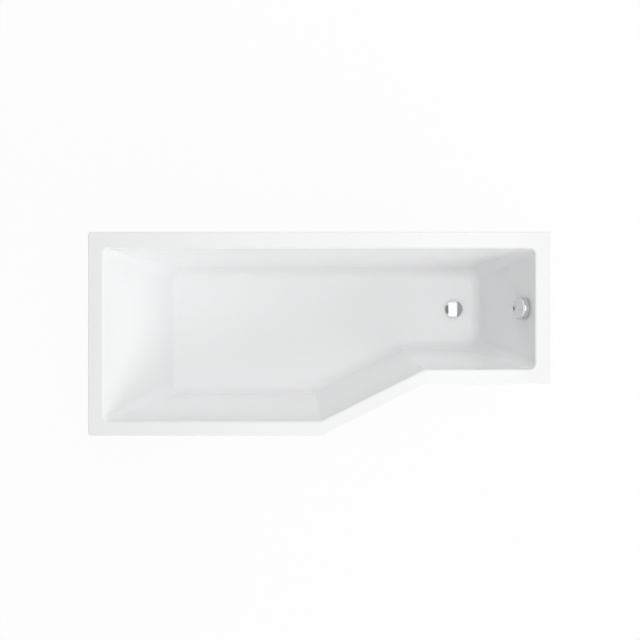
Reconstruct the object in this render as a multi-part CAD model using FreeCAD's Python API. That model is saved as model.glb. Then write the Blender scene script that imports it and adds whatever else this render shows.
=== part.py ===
"""Acrylic corner shower bath with a kinked front, on screw feet, with a cable-worked pop-up waste.

Frame: +X runs along the bath to the narrow waste end, +Y to the straight wall side, +Z up.
The origin lies on the floor under the middle of the rim's rectangle. All sizes are in millimetres.
"""

import FreeCAD
import Part

import math
import os

from FreeCAD import Placement, Rotation, Vector

# Rim outline, seen from above
LENGTH = 1700.0
WIDTH = 750.0
NARROW_WIDTH = 560.0
NARROW_LENGTH = 462.0
KINK_SLOPE = 0.5
RIM_END = 55.0
RIM_BACK = 60.0
RIM_FRONT = 55.0
RIM_KINK = 50.0
RIM_CORNER = 8.0
RIM_CORNER_LEAST = 1.0
SKIRT = 35.0

# Well: depth, and how far each wall leans out between the floor and the rim
DEPTH = 420.0
LEAN_BACKREST = 200.0
LEAN_FRONT = 78.0
LEAN_KINK = 85.0
LEAN_NARROW = 66.0
LEAN_FOOT = 150.0
LEAN_BACK = 58.0

# Rounded edges of the well
CORNER_AT_RIM = 22.0
CORNER_AT_FLOOR = 55.0
ELBOW_AT_RIM = 20.0
ELBOW_AT_FLOOR = 30.0
COVE = 35.0
RIM_INNER_ROUND = 9.0
RIM_OUTER_ROUND = 5.0

# Skins
SHEET = 5.0
GLASS = 4.0
BOARD = 18.0

# Height of the laminated underside above the floor, set by the screw feet
UNDERSIDE = 171.0

# Board under the floor
BOARD_INSET = 45.0
BOARD_CORNER = 20.0
BOARD_TO_WASTE = 88.0

# Foot rails: folded steel channels, open side down
RAIL_FROM_HEAD = 195.0
RAIL_FROM_WASTE = 148.0
RAIL_WIDTH = 40.0
RAIL_HEIGHT = 25.0
RAIL_STEEL = 2.0
RAIL_BEND = 3.0
RAIL_PAST_FOOT = 22.0
RAIL_SCREWS = 4
SCREW_EDGE = 30.0
SCREW_SHANK_R = 2.2
SCREW_HEAD_R = 4.5
SCREW_HEAD = 2.6
SCREW_BITE = 14.0

# Screw feet: M10 rods held to the rail web by a nut on each side
ROD_R = 5.0
ROD_SPARE = 5.0
ROD_CHAMFER = 1.0
FOOT_RAISE = 30.0
FOOT_LOWER = 8.0
FOOT_GAP = 20.0
NUT_FLATS = 17.0
NUT_HEIGHT = 8.0
NUT_PLAY = 0.06
WASHER_R = 10.0
WASHER = 2.0
WASHER_PLAY = 0.3
ROD_HOLE_PLAY = 0.5
PAD_R = 27.0
PAD_RIM = 5.0
PAD_SOCKET_WALL = 6.0
PAD_SHOULDER = 20.0
PAD_HEIGHT = 26.0
PAD_FLOOR = 8.0

# Waste: hole, flange and pop-up plug
WASTE_FROM_END = 97.0
WASTE_HOLE_PLAY = 1.0
FLANGE_R = 35.0
FLANGE = 2.0
FLANGE_SEAL = 1.5
NECK_R = 25.0
NECK_WALL = 2.5
NECK_LENGTH = 35.5
SPIDER = 4.0
SPIDER_HUB_R = 7.0
SPOKE_WIDTH = 4.0
SPOKES = 3
PLUG_R = 36.5
PLUG_GAP = 0.4
PLUG_EDGE = 3.5
PLUG_CROWN = 3.0
PLUG_SPIGOT = 6.0
PLUG_SEAL_PLAY = 0.3
PLUG_SEAL = 3.0
PLUG_SEAL_WIDTH = 3.2
STEM_R = 3.0
STEM_PLAY = 0.06
STEM_SOCKET = 4.0
LIFT = 10.0

# Waste body below the floor
BODY_SEAL = 4.0
BODY_FLANGE_LAP = 9.0
BODY_FLANGE = 5.0
BODY_WALL = 6.0
CHAMBER_PLAY = 1.2
CHAMBER_HEADROOM = 5.0
CHAMBER_FLOOR = 4.0
NECK_PLAY = 0.2
NECK_TO_CHAMBER = 2.0
TAIL_LENGTH = 20.0
SPIGOT_R = 17.0
SPIGOT_WALL = 3.0
INLET_SPIGOT = 39.0
SEAL_MARGIN = 1.0

# Lift lever and its cable
LEVER_AZIMUTH = -50.0
LEVER_REACH = 20.0
LEVER_CABLE_ARM = 13.0
LEVER_HUB_R = 4.0
LEVER_HALF_WIDTH = 4.0
LEVER_NOSE_R = 2.5
LEVER_ARM = 3.6
LEVER_PRONG = 3.0
LEVER_PRONG_TIP = 3.0
LEVER_SLOT = 2.4
LEVER_PIN_R = 1.5
LEVER_PIN_PLAY = 0.05
LEVER_PIN_BITE = 3.0
LEVER_FLOOR_GAP = 1.5
CONTACT_GAP = 0.3
NIPPLE_R = 2.0
WIRE_R = 0.8
WIRE_PLAY = 0.3
PORT_R = 4.5
PORT_LENGTH = 15.0
CABLE_R = 2.5

# Trap: union nuts, bend and outlet
TRAP_R = 20.0
TRAP_WALL = 2.5
TRAP_SEAL = 2.0
TRAP_COLLAR = 3.0
COLLAR_STEP = 1.0
TRAP_BEND_R = 32.0
TRAP_DROP = 26.0
TRAP_RISE = 10.0
TRAP_CUFF = 16.0
NUT_WALL = 6.5
NUT_LIP = 3.0
NUT_LIP_PLAY = 0.2
UNION_PLAY = 0.3
UNION_GRIP = 19.0
UNION_SCALLOPS = 12
SCALLOP_R = 5.0
SCALLOP_BITE = 1.2
OUTLET_BEND_R = 30.0
OUTLET_END_GAP = 30.0
OUTLET_SPIGOT = 50.0
OUTLET_STOP_R = 23.0
OUTLET_STOP = 5.0

# Overflow on the foot-end wall
OVERFLOW_DROP = 70.0
OVERFLOW_HOLE_STEP = 0.5
OVERFLOW_SEAL = 3.0
OVERFLOW_FLANGE_LAP = 13.0
OVERFLOW_FLANGE = 4.0
CUP_BORE_R = 25.5
CUP_WALL = 3.5
CUP_DEPTH = 38.0
CUP_BACK = 3.0
POST_R = 4.5
POST_SINK = 0.5
POST_LENGTH = 26.0
POST_BORE_DEPTH = 22.0
OUTLET_DROP = 58.0
CLAMP_LAP = 8.0
CLAMP = 3.0
CLAMP_SEAL = 1.5
CLAMP_HEAD_LAND = 3.3
CLAMP_HUB_WALL = 5.0
CLAMP_HUB_BACK = 8.0
CLAMP_SCREW_R = 2.4
CLAMP_HEAD_R = 4.2
CLAMP_HEAD = 2.6
KNOB_R = 41.0
KNOB_GAP = 2.0
KNOB_SIDE = 18.0
KNOB_BEVEL = 4.5
KNOB_CROWN = 1.2
KNOB_WALL = 2.2
KNOB_HUB_R = 8.0
KNOB_SOCKET = 14.0
GRIP_R = 9.0
GRIP_INSET = 3.0
GRIP_EDGE = 1.5
SPINDLE_R = 4.0
SPINDLE_PLAY = 0.05
CRANK_EDGE = 1.3
CRANK = 3.0
CRANK_PIN_R = 1.5
CRANK_PIN = 5.0
CRANK_BACK_GAP = 3.0
KNOB_TURN = 90.0
YOKE = 2.0
YOKE_SLOT_PLAY = 0.35
YOKE_MARGIN = 2.4
WIRE_TAIL = 3.0

# Overflow hose
HOSE_R = 16.0
HOSE_RIB = 2.2
HOSE_WALL = 1.8
HOSE_CUFF = 32.0
HOSE_PITCH = 6.0
HOSE_UPPER_RUN = 90.0
HOSE_LOWER_RUN = 115.0
HOSE_UPPER_BEND = 160.0
HOSE_LOWER_BEND = 85.0
HOSE_NUT_LENGTH = 28.0
HOSE_NUT_WALL = 5.0
HOSE_NUT_PLAY = 0.2

# Lift cable: straight lead at each port, and points between them as X and Y from the waste
# and a share of the rise from the lower port to the upper one
CABLE_LEAD = 50.0
CABLE_POINTS = [
    (249.0, -120.0, 0.85), (230.0, -133.0, 0.69), (212.0, -138.0, 0.515),
    (194.0, -136.0, 0.34), (169.0, -127.0, 0.185), (127.0, -107.0, 0.065),
]
CABLE_BEND_SHARE = 0.45

Z_AXIS = Vector(0, 0, 1)

# Two places nearer than the first count as one. A spigot's root starts the second off the bore it leads to
NEAR = 0.01
ROOT = 1.0

# Heights that follow from the sizes above
FLOOR_TOP = UNDERSIDE + GLASS + SHEET
RIM_TOP = FLOOR_TOP + DEPTH
BOARD_UNDER = UNDERSIDE - BOARD
WEB_UNDER = BOARD_UNDER - RAIL_STEEL
NUTS_TOP = BOARD_UNDER + WASHER + NUT_HEIGHT
ROD_TOP = NUTS_TOP + FOOT_RAISE + ROD_SPARE
SKIN = SHEET + GLASS
KINK_ANGLE = math.atan(KINK_SLOPE)
NARROW_FRONT = NARROW_WIDTH - WIDTH / 2
KINK_NORMAL = (math.sin(KINK_ANGLE), -math.cos(KINK_ANGLE))
KINK_END_X = LENGTH / 2 - NARROW_LENGTH
KINK_DISTANCE = KINK_END_X * KINK_NORMAL[0] - NARROW_FRONT * KINK_NORMAL[1]

# Walls in order round the well: outward normal in plan, rim edge, rim width, lean
WALLS = {
    "backrest": ((-1.0, 0.0), LENGTH / 2, RIM_END, LEAN_BACKREST),
    "front": ((0.0, -1.0), WIDTH / 2, RIM_FRONT, LEAN_FRONT),
    "kink": (KINK_NORMAL, KINK_DISTANCE, RIM_KINK, LEAN_KINK),
    "narrow": ((0.0, -1.0), NARROW_FRONT, RIM_FRONT, LEAN_NARROW),
    "foot": ((1.0, 0.0), LENGTH / 2, RIM_END, LEAN_FOOT),
    "back": ((0.0, 1.0), WIDTH / 2, RIM_BACK, LEAN_BACK),
}

# Waste centre, on the middle line of the narrow end
WASTE_X = LENGTH / 2 - RIM_END - LEAN_FOOT - WASTE_FROM_END
WASTE_Y = (WIDTH / 2 - NARROW_FRONT) / 2
WASTE = Vector(WASTE_X, WASTE_Y, 0)


def wall_distance(name, height, skin):
    """Plan distance from the origin to a wall at a height, on the face a skin thickness outside the well."""
    _, edge, rim, lean = WALLS[name]
    slope = lean / DEPTH
    return edge - rim - slope * (RIM_TOP - height) + skin * math.hypot(1, slope)


def rounded_outline(lines, radii, height):
    """Closed wire through straight lines (normal, distance), with a tangent arc at each corner."""
    count = len(lines)
    corners = []
    for (n1, d1), (n2, d2) in zip(lines, lines[1:] + lines[:1]):
        cross = n1[0] * n2[1] - n1[1] * n2[0]
        corners.append(Vector((d1 * n2[1] - d2 * n1[1]) / cross, (d2 * n1[0] - d1 * n2[0]) / cross, height))
    along = [Vector(-n[1], n[0], 0) for n, _ in lines]
    arcs = []
    for i, corner in enumerate(corners):
        before, after = along[i], along[(i + 1) % count]
        half_turn = before.getAngle(after) / 2
        reach = radii[i] * math.tan(half_turn)
        inward = (after - before).normalize()
        middle = corner + inward * (radii[i] / math.cos(half_turn) - radii[i])
        arcs.append(Part.Arc(corner - before * reach, middle, corner + after * reach))
    edges = []
    for i, arc in enumerate(arcs):
        edges.append(Part.LineSegment(arcs[i - 1].EndPoint, arc.StartPoint).toShape())
        edges.append(arc.toShape())
    return Part.Wire(edges)


def corner_radii(convex, elbow):
    """One radius per corner: the corner between kink and narrow wall turns the other way."""
    return [elbow if name == "kink" else convex for name in WALLS]


def well_outline(height, skin):
    share = (RIM_TOP - height) / DEPTH
    convex = CORNER_AT_RIM + share * (CORNER_AT_FLOOR - CORNER_AT_RIM) + skin
    elbow = ELBOW_AT_RIM + share * (ELBOW_AT_FLOOR - ELBOW_AT_RIM) - skin
    lines = [(WALLS[name][0], wall_distance(name, height, skin)) for name in WALLS]
    return rounded_outline(lines, corner_radii(convex, elbow), height)


def well_solid(skin, top):
    """The well as a solid from its coved floor to a height, grown outward by a skin thickness."""
    bottom = FLOOR_TOP - skin
    body = Part.makeLoft([well_outline(bottom, skin), well_outline(top, skin)], True, True)
    floor_edges = [e for e in body.Edges if e.BoundBox.ZMax < bottom + NEAR]
    return body.makeFillet(COVE + skin, floor_edges)


def rim_outline(inset, height):
    lines = [(normal, edge - inset) for normal, edge, _, _ in WALLS.values()]
    convex = max(RIM_CORNER - inset, RIM_CORNER_LEAST)
    return rounded_outline(lines, corner_radii(convex, RIM_CORNER + inset), height)


def slab(wire, thickness):
    return Part.Face(wire).extrude(Vector(0, 0, thickness))


def cylinder(radius, low, high, at=Vector(0, 0, 0)):
    return Part.makeCylinder(radius, high - low, Vector(at.x, at.y, low))


def ring(outer, inner, low, high, at=Vector(0, 0, 0)):
    return cylinder(outer, low, high, at).cut(cylinder(inner, low, high, at))


def rod_between(radius, start, end):
    return Part.makeCylinder(radius, (end - start).Length, start, end - start)


def turned(edges):
    """Solid of revolution about Z from half-profile edges in the XZ plane."""
    face = Part.Face(Part.Wire([e.toShape() for e in edges]))
    return Part.Solid(face.revolve(Vector(0, 0, 0), Z_AXIS, 360))


def half_profile(points):
    """Closed chain of straight half-profile edges through (radius, height) points."""
    at = [Vector(r, 0, z) for r, z in points]
    return [Part.LineSegment(a, b) for a, b in zip(at, at[1:] + at[:1])]


def scalloped(body, radius, low, high, count, bite, at):
    """Grip scallops cut into the side of a round body."""
    cutters = []
    for i in range(count):
        angle = 2 * math.pi * i / count
        reach = radius + SCALLOP_R - bite
        aside = Vector(reach * math.cos(angle), reach * math.sin(angle), 0)
        cutters.append(cylinder(SCALLOP_R, low, high, at + aside))
    return body.cut(Part.makeCompound(cutters))


def bent_path(points, radii):
    """Wire of straight runs joined by tangent arcs, one radius for each inner point."""
    edges = []
    start = points[0]
    for before, corner, after, radius in zip(points, points[1:], points[2:], radii):
        into = (corner - before).normalize()
        out = (after - corner).normalize()
        half_turn = into.getAngle(out) / 2
        reach = radius * math.tan(half_turn)
        inward = (out - into).normalize()
        middle = corner + inward * (radius / math.cos(half_turn) - radius)
        edges.append(Part.LineSegment(start, corner - into * reach).toShape())
        edges.append(Part.Arc(corner - into * reach, middle, corner + out * reach).toShape())
        start = corner + out * reach
    edges.append(Part.LineSegment(start, points[-1]).toShape())
    return Part.Wire(edges)


def tube_along(path, radius):
    start = path.OrderedEdges[0]
    heading = start.tangentAt(start.FirstParameter)
    section = Part.Wire(Part.makeCircle(radius, path.OrderedVertexes[0].Point, heading))
    return path.makePipeShell([section], True, False)


# Overflow frame: X across the wall, Y up the wall, Z square out of it into the bath
FOOT_SLOPE = math.atan(LEAN_FOOT / DEPTH)
OVERFLOW_Z = RIM_TOP - OVERFLOW_DROP
WALL_UP = Vector(math.sin(FOOT_SLOPE), 0, math.cos(FOOT_SLOPE))
WALL_OUT = Vector(-math.cos(FOOT_SLOPE), 0, math.sin(FOOT_SLOPE))
OVERFLOW_AT = Vector(wall_distance("foot", OVERFLOW_Z, 0), WASTE_Y, OVERFLOW_Z)
OVERFLOW = Placement(OVERFLOW_AT, Rotation(Vector(0, -1, 0), WALL_UP, WALL_OUT, "ZYX"))

# Radii of the overflow, from the bore of its cup
OVERFLOW_HOLE_R = CUP_BORE_R + OVERFLOW_HOLE_STEP
OVERFLOW_FLANGE_R = OVERFLOW_HOLE_R + OVERFLOW_FLANGE_LAP
CLAMP_R = OVERFLOW_HOLE_R + CLAMP_LAP
CUP_R = CUP_BORE_R + CUP_WALL
POST_AT = CUP_BORE_R - POST_R + POST_SINK
CLAMP_WINDOW = 2 * (POST_AT - CLAMP_HEAD_R - CLAMP_HEAD_LAND)
CLAMP_HUB_R = SPINDLE_R + CLAMP_HUB_WALL
OVERFLOW_PORT_REACH = CUP_R + PORT_LENGTH

# Depths behind and in front of the foot-end wall
SEAL_BACK = -SKIN - OVERFLOW_SEAL
CUP_FRONT = SEAL_BACK - OVERFLOW_FLANGE
CUP_REAR = CUP_FRONT - CUP_DEPTH
CUP_INSIDE = CUP_REAR + CUP_BACK
OUTLET_AXIS = CUP_FRONT - CUP_DEPTH / 2
PIN_REAR = CUP_INSIDE + CRANK_BACK_GAP
CRANK_REAR = PIN_REAR + CRANK_PIN
YOKE_REAR = PIN_REAR + (CRANK_PIN - CRANK) / 2
WIRE_DEPTH = YOKE_REAR + YOKE / 2
CLAMP_FRONT = CLAMP_SEAL + CLAMP
KNOB_BACK = CLAMP_FRONT + KNOB_GAP
KNOB_CEILING = KNOB_BACK + KNOB_SIDE + KNOB_BEVEL - KNOB_WALL

# Lever swing, cable travel and crank throw that give the plug its lift
LEVER_SWING = 2 * math.asin(LIFT / 2 / LEVER_REACH)
CABLE_TRAVEL = 2 * LEVER_CABLE_ARM * math.tan(LEVER_SWING / 2)
CRANK_THROW = CABLE_TRAVEL / 2 / math.sin(math.radians(KNOB_TURN) / 2)
CRANK_R = CRANK_THROW + CRANK_PIN_R + CRANK_EDGE
YOKE_CENTRE = CRANK_THROW * (1 + math.cos(math.radians(KNOB_TURN) / 2)) / 2

# Radii of the waste, from its neck and from the room the lever needs
WASTE_HOLE_R = NECK_R + WASTE_HOLE_PLAY
PLUG_SEAL_R = NECK_R - NECK_WALL - PLUG_SEAL_PLAY
PLUG_SPIGOT_R = PLUG_SEAL_R - PLUG_SEAL_WIDTH
LEVER_TIP = LEVER_CABLE_ARM + LEVER_PRONG_TIP
LEVER_OUT = LEVER_REACH + LEVER_TIP * math.sin(LEVER_SWING / 2) + LEVER_PRONG / 2
CHAMBER_R = math.hypot(LEVER_OUT, LEVER_HALF_WIDTH) + CHAMBER_PLAY
CHAMBER_HEIGHT = LEVER_FLOOR_GAP + LEVER_NOSE_R + LIFT / 2 + LEVER_TIP + CHAMBER_HEADROOM
LEVER_PIN_HALF = math.sqrt(CHAMBER_R ** 2 - LEVER_REACH ** 2) + LEVER_PIN_BITE
BODY_R = CHAMBER_R + BODY_WALL
BODY_FLANGE_R = BODY_R + BODY_FLANGE_LAP
SPIGOT_BORE_R = SPIGOT_R - SPIGOT_WALL
INLET_REACH = BODY_R + INLET_SPIGOT
WASTE_PORT_REACH = BODY_R + PORT_LENGTH
TAIL_R = TRAP_R + COLLAR_STEP
TAIL_BORE_R = TRAP_R - TRAP_WALL

# Heights of the waste, from the floor of the bath down
FLANGE_UNDER = FLOOR_TOP + FLANGE_SEAL
FLANGE_TOP = FLANGE_UNDER + FLANGE
NECK_END = FLANGE_UNDER - NECK_LENGTH
BODY_TOP = UNDERSIDE - BODY_SEAL
CHAMBER_TOP = NECK_END - NECK_TO_CHAMBER
CHAMBER_LOW = CHAMBER_TOP - CHAMBER_HEIGHT
BODY_LOW = CHAMBER_LOW - CHAMBER_FLOOR
TAIL_END = BODY_LOW - TAIL_LENGTH
INLET_Z = CHAMBER_LOW + CHAMBER_HEIGHT / 2
LEVER_Z = CHAMBER_LOW + LEVER_FLOOR_GAP + LEVER_NOSE_R + LIFT / 2
WIRE_Z = LEVER_Z + LEVER_CABLE_ARM
PLUG_UNDER = FLANGE_TOP + PLUG_GAP
STEM_END = LEVER_Z - LIFT / 2 + LEVER_NOSE_R + CONTACT_GAP

# Trap heights and places
TRAP_TOP = TAIL_END - TRAP_SEAL
BEND_Z = TRAP_TOP - TRAP_DROP
RISER_Y = WASTE_Y + 2 * TRAP_BEND_R
RISER_TOP = BEND_Z + TRAP_RISE
ELBOW_LOW = RISER_TOP + TRAP_SEAL
ELBOW_BEND = ELBOW_LOW + TRAP_COLLAR + NUT_LIP
OUTLET_Z = ELBOW_BEND + OUTLET_BEND_R
OUTLET_END = WIDTH / 2 - OUTLET_END_GAP
RISER = Vector(WASTE_X, RISER_Y, 0)
UNION_R = TAIL_R + UNION_PLAY + NUT_WALL


# Shells

def tub_shell():
    """Vacuum-formed acrylic sheet: flat rim, turned-down skirt and coved well, with the two fitting holes."""
    rim = slab(rim_outline(0, RIM_TOP - SHEET), SHEET)
    skirt = slab(rim_outline(0, RIM_TOP - SKIRT), SKIRT).cut(slab(rim_outline(SHEET, RIM_TOP - SKIRT), SKIRT))
    body = rim.fuse([skirt, well_solid(SHEET, RIM_TOP)]).removeSplitter()
    body = body.cut(well_solid(0, RIM_TOP + SHEET))
    body = body.cut(fitting_holes())
    top_edges = [e for e in body.Edges if e.BoundBox.ZMin > RIM_TOP - NEAR]
    outline = rim_outline(0, RIM_TOP)
    outer = [e for e in top_edges if e.distToShape(outline)[0] < NEAR]
    inner = [e for e in top_edges if e.distToShape(outline)[0] > NEAR]
    return body.makeFillet(RIM_OUTER_ROUND, outer).makeFillet(RIM_INNER_ROUND, inner)


def fitting_holes():
    waste = cylinder(WASTE_HOLE_R, UNDERSIDE - GLASS, FLOOR_TOP + SHEET, WASTE)
    overflow = cylinder(OVERFLOW_HOLE_R, -2 * SKIN, SKIN)
    overflow.Placement = OVERFLOW
    return waste.fuse(overflow)


def glass_fibre_backing():
    """Sprayed glass-fibre laminate on the back of the acrylic, from under the rim to the floor."""
    under_rim = slab(rim_outline(SHEET + GLASS, RIM_TOP - SKIN), GLASS)
    body = under_rim.fuse(well_solid(SKIN, RIM_TOP - SHEET)).removeSplitter()
    return body.cut(well_solid(SHEET, RIM_TOP)).cut(fitting_holes())


def board_distance(name):
    """Plan distance from the origin to an edge of the board."""
    if name == "foot":
        return WASTE_X - BOARD_TO_WASTE
    return wall_distance(name, UNDERSIDE, SKIN) - BOARD_INSET


def base_board():
    """Chipboard bonded under the floor, which takes the rail screws and stops short of the waste."""
    lines = [(WALLS[name][0], board_distance(name)) for name in WALLS]
    outline = rounded_outline(lines, corner_radii(BOARD_CORNER, BOARD_CORNER), BOARD_UNDER)
    holes = [cylinder(SCREW_SHANK_R, BOARD_UNDER, BOARD_UNDER + SCREW_BITE, at) for at in all_screws()]
    return slab(outline, BOARD).cut(Part.makeCompound(holes))


# Rails and their screws

RAILS = {
    "wide": (RAIL_FROM_HEAD - board_distance("backrest"), "front"),
    "narrow": (WASTE_X - RAIL_FROM_WASTE, "narrow"),
}


def foot_places(rail):
    """Rod axes of a rail's front and back foot, clear of the walls at the rod's highest setting."""
    x, front_wall = RAILS[rail]
    highest = ROD_TOP + FOOT_LOWER
    front = -wall_distance(front_wall, highest, SKIN) - FOOT_GAP
    back = wall_distance("back", highest, SKIN) + FOOT_GAP
    return {"front": Vector(x, front, 0), "back": Vector(x, back, 0)}


def screw_places(rail):
    x, front_wall = RAILS[rail]
    low = -board_distance(front_wall) + SCREW_EDGE
    high = board_distance("back") - SCREW_EDGE
    step = (high - low) / (RAIL_SCREWS - 1)
    return [Vector(x, low + i * step, 0) for i in range(RAIL_SCREWS)]


def all_screws():
    return [at for rail in RAILS for at in screw_places(rail)]


def rail_channel(rail):
    """Folded steel channel across the board, with a rod hole near each end and screw holes in its web."""
    x, _ = RAILS[rail]
    feet = foot_places(rail)
    low = feet["front"].y - RAIL_PAST_FOOT
    length = feet["back"].y + RAIL_PAST_FOOT - low
    bottom = BOARD_UNDER - RAIL_HEIGHT
    body = Part.makeBox(RAIL_WIDTH, length, RAIL_HEIGHT, Vector(x - RAIL_WIDTH / 2, low, bottom))
    folds = [e for e in body.Edges if e.BoundBox.ZMin > BOARD_UNDER - NEAR and e.BoundBox.YLength > NEAR]
    body = body.makeFillet(RAIL_BEND, folds)
    inside = RAIL_WIDTH - 2 * RAIL_STEEL
    hollow = Part.makeBox(inside, length, RAIL_HEIGHT - RAIL_STEEL, Vector(x - inside / 2, low, bottom))
    holes = [cylinder(ROD_R + ROD_HOLE_PLAY, bottom, BOARD_UNDER, at) for at in feet.values()]
    holes += [cylinder(SCREW_SHANK_R, bottom, BOARD_UNDER, at) for at in screw_places(rail)]
    return body.cut(hollow).cut(Part.makeCompound(holes))


def rail_screws():
    """Pan-head screws through the rail webs into the board."""
    screws = []
    for at in all_screws():
        head = cylinder(SCREW_HEAD_R, WEB_UNDER - SCREW_HEAD, WEB_UNDER, at)
        rounded = [e for e in head.Edges if e.BoundBox.ZMax < WEB_UNDER - SCREW_HEAD + NEAR]
        head = head.makeFillet(SCREW_HEAD / 2, rounded)
        screws.append(head.fuse(cylinder(SCREW_SHANK_R, WEB_UNDER, BOARD_UNDER + SCREW_BITE, at)))
    return Part.makeCompound(screws)


# Screw feet

def foot_washers():
    """Plain washers above and below each rail web."""
    bore = ROD_R + WASHER_PLAY
    washers = []
    for rail in RAILS:
        for at in foot_places(rail).values():
            washers.append(ring(WASHER_R, bore, BOARD_UNDER, BOARD_UNDER + WASHER, at))
            washers.append(ring(WASHER_R, bore, WEB_UNDER - WASHER, WEB_UNDER, at))
    return Part.makeCompound(washers)


def hex_nut(low, at):
    """Hexagon nut with chamfered corners, standing on a height."""
    across = NUT_FLATS / math.sqrt(3)
    points = [Vector(across * math.cos(math.radians(a)), across * math.sin(math.radians(a)), 0)
              for a in range(0, 361, 60)]
    body = Part.Face(Part.makePolygon(points)).extrude(Vector(0, 0, NUT_HEIGHT))
    drop = across - NUT_FLATS / 2
    cone = turned(half_profile([
        (0, 0), (NUT_FLATS / 2, 0), (across, drop / 2), (across, NUT_HEIGHT - drop / 2),
        (NUT_FLATS / 2, NUT_HEIGHT), (0, NUT_HEIGHT),
    ]))
    body = body.common(cone).cut(cylinder(ROD_R + NUT_PLAY, 0, NUT_HEIGHT))
    body.translate(at + Vector(0, 0, low))
    return body


def foot_nuts(at):
    """Lock nut above the web and adjusting nut below it."""
    upper = hex_nut(BOARD_UNDER + WASHER, at)
    lower = hex_nut(WEB_UNDER - WASHER - NUT_HEIGHT, at)
    return Part.makeCompound([upper, lower])


def foot_rod(at):
    rod = cylinder(ROD_R, PAD_FLOOR, ROD_TOP, at)
    return rod.makeChamfer(ROD_CHAMFER, [e for e in rod.Edges if e.BoundBox.ZMin > ROD_TOP - NEAR])


def foot_pad(at):
    """Moulded foot with a wide flat base and a socket for the rod."""
    neck_r = ROD_R + PAD_SOCKET_WALL
    pad = turned(half_profile([
        (0, 0), (PAD_R, 0), (PAD_R, PAD_RIM), (neck_r, PAD_SHOULDER), (neck_r, PAD_HEIGHT),
        (ROD_R, PAD_HEIGHT), (ROD_R, PAD_FLOOR), (0, PAD_FLOOR),
    ]))
    pad.translate(at)
    return pad


# Waste fitting and pop-up plug

def waste_flange():
    """Bright flange with its threaded neck, and a spider that guides the plug stem."""
    flange = cylinder(FLANGE_R, FLANGE_UNDER, FLANGE_TOP, WASTE)
    flange = flange.makeFillet(FLANGE / 2, [e for e in flange.Edges if e.BoundBox.ZMin > FLANGE_TOP - NEAR])
    body = flange.fuse(cylinder(NECK_R, NECK_END, FLANGE_UNDER, WASTE))
    body = body.cut(cylinder(NECK_R - NECK_WALL, NECK_END, FLANGE_TOP, WASTE))
    spokes = []
    for i in range(SPOKES):
        spoke_at = Vector(0, -SPOKE_WIDTH / 2, NECK_END)
        spoke = Part.makeBox(NECK_R - NECK_WALL / 2, SPOKE_WIDTH, SPIDER, spoke_at)
        spoke.rotate(Vector(0, 0, 0), Z_AXIS, 90.0 + 360.0 * i / SPOKES)
        spoke.translate(WASTE)
        spokes.append(spoke)
    hub = cylinder(SPIDER_HUB_R, NECK_END, NECK_END + SPIDER, WASTE)
    body = body.fuse([hub] + spokes).removeSplitter()
    return body.cut(cylinder(STEM_R + STEM_PLAY, NECK_END, FLANGE_TOP, WASTE))


def waste_flange_seal():
    return ring(FLANGE_R - SEAL_MARGIN, WASTE_HOLE_R, FLOOR_TOP, FLANGE_UNDER, WASTE)


def waste_body_seal():
    return ring(BODY_FLANGE_R - SEAL_MARGIN, WASTE_HOLE_R, BODY_TOP, UNDERSIDE, WASTE)


def plug_cap():
    """Domed bright cap with a spigot below that carries the seal and the stem."""
    crown = PLUG_UNDER + PLUG_EDGE + PLUG_CROWN
    edge_top = PLUG_UNDER + PLUG_EDGE
    spigot_low = PLUG_UNDER - PLUG_SPIGOT
    groove = PLUG_UNDER - PLUG_SEAL
    profile = [
        (0, spigot_low + STEM_SOCKET), (STEM_R, spigot_low + STEM_SOCKET), (STEM_R, spigot_low),
        (PLUG_SEAL_R, spigot_low), (PLUG_SEAL_R, groove), (PLUG_SPIGOT_R, groove),
        (PLUG_SPIGOT_R, PLUG_UNDER), (PLUG_R, PLUG_UNDER), (PLUG_R, edge_top),
    ]
    at = [Vector(r, 0, z) for r, z in profile]
    edges = [Part.LineSegment(a, b) for a, b in zip(at, at[1:])]
    top = Vector(0, 0, crown)
    dome_r = (PLUG_R ** 2 + PLUG_CROWN ** 2) / (2 * PLUG_CROWN)
    half = PLUG_R / 2
    shoulder = Vector(half, 0, crown - dome_r + math.sqrt(dome_r ** 2 - half ** 2))
    edges += [Part.Arc(at[-1], shoulder, top), Part.LineSegment(top, at[0])]
    cap = turned(edges)
    cap = cap.makeFillet(PLUG_EDGE / 2, [e for e in cap.Edges if abs(e.BoundBox.ZMin - edge_top) < NEAR
                                         and e.BoundBox.ZLength < NEAR])
    cap.translate(WASTE)
    return cap


def plug_seal():
    return ring(PLUG_SEAL_R, PLUG_SPIGOT_R, PLUG_UNDER - PLUG_SEAL, PLUG_UNDER, WASTE)


def plug_stem():
    return cylinder(STEM_R, STEM_END, PLUG_UNDER - PLUG_SPIGOT + STEM_SOCKET, WASTE)


def lever_frame():
    """Frame of the lever: X out along its azimuth from the waste axis, Y along its pin."""
    return Placement(WASTE, Rotation(Z_AXIS, LEVER_AZIMUTH))


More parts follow.
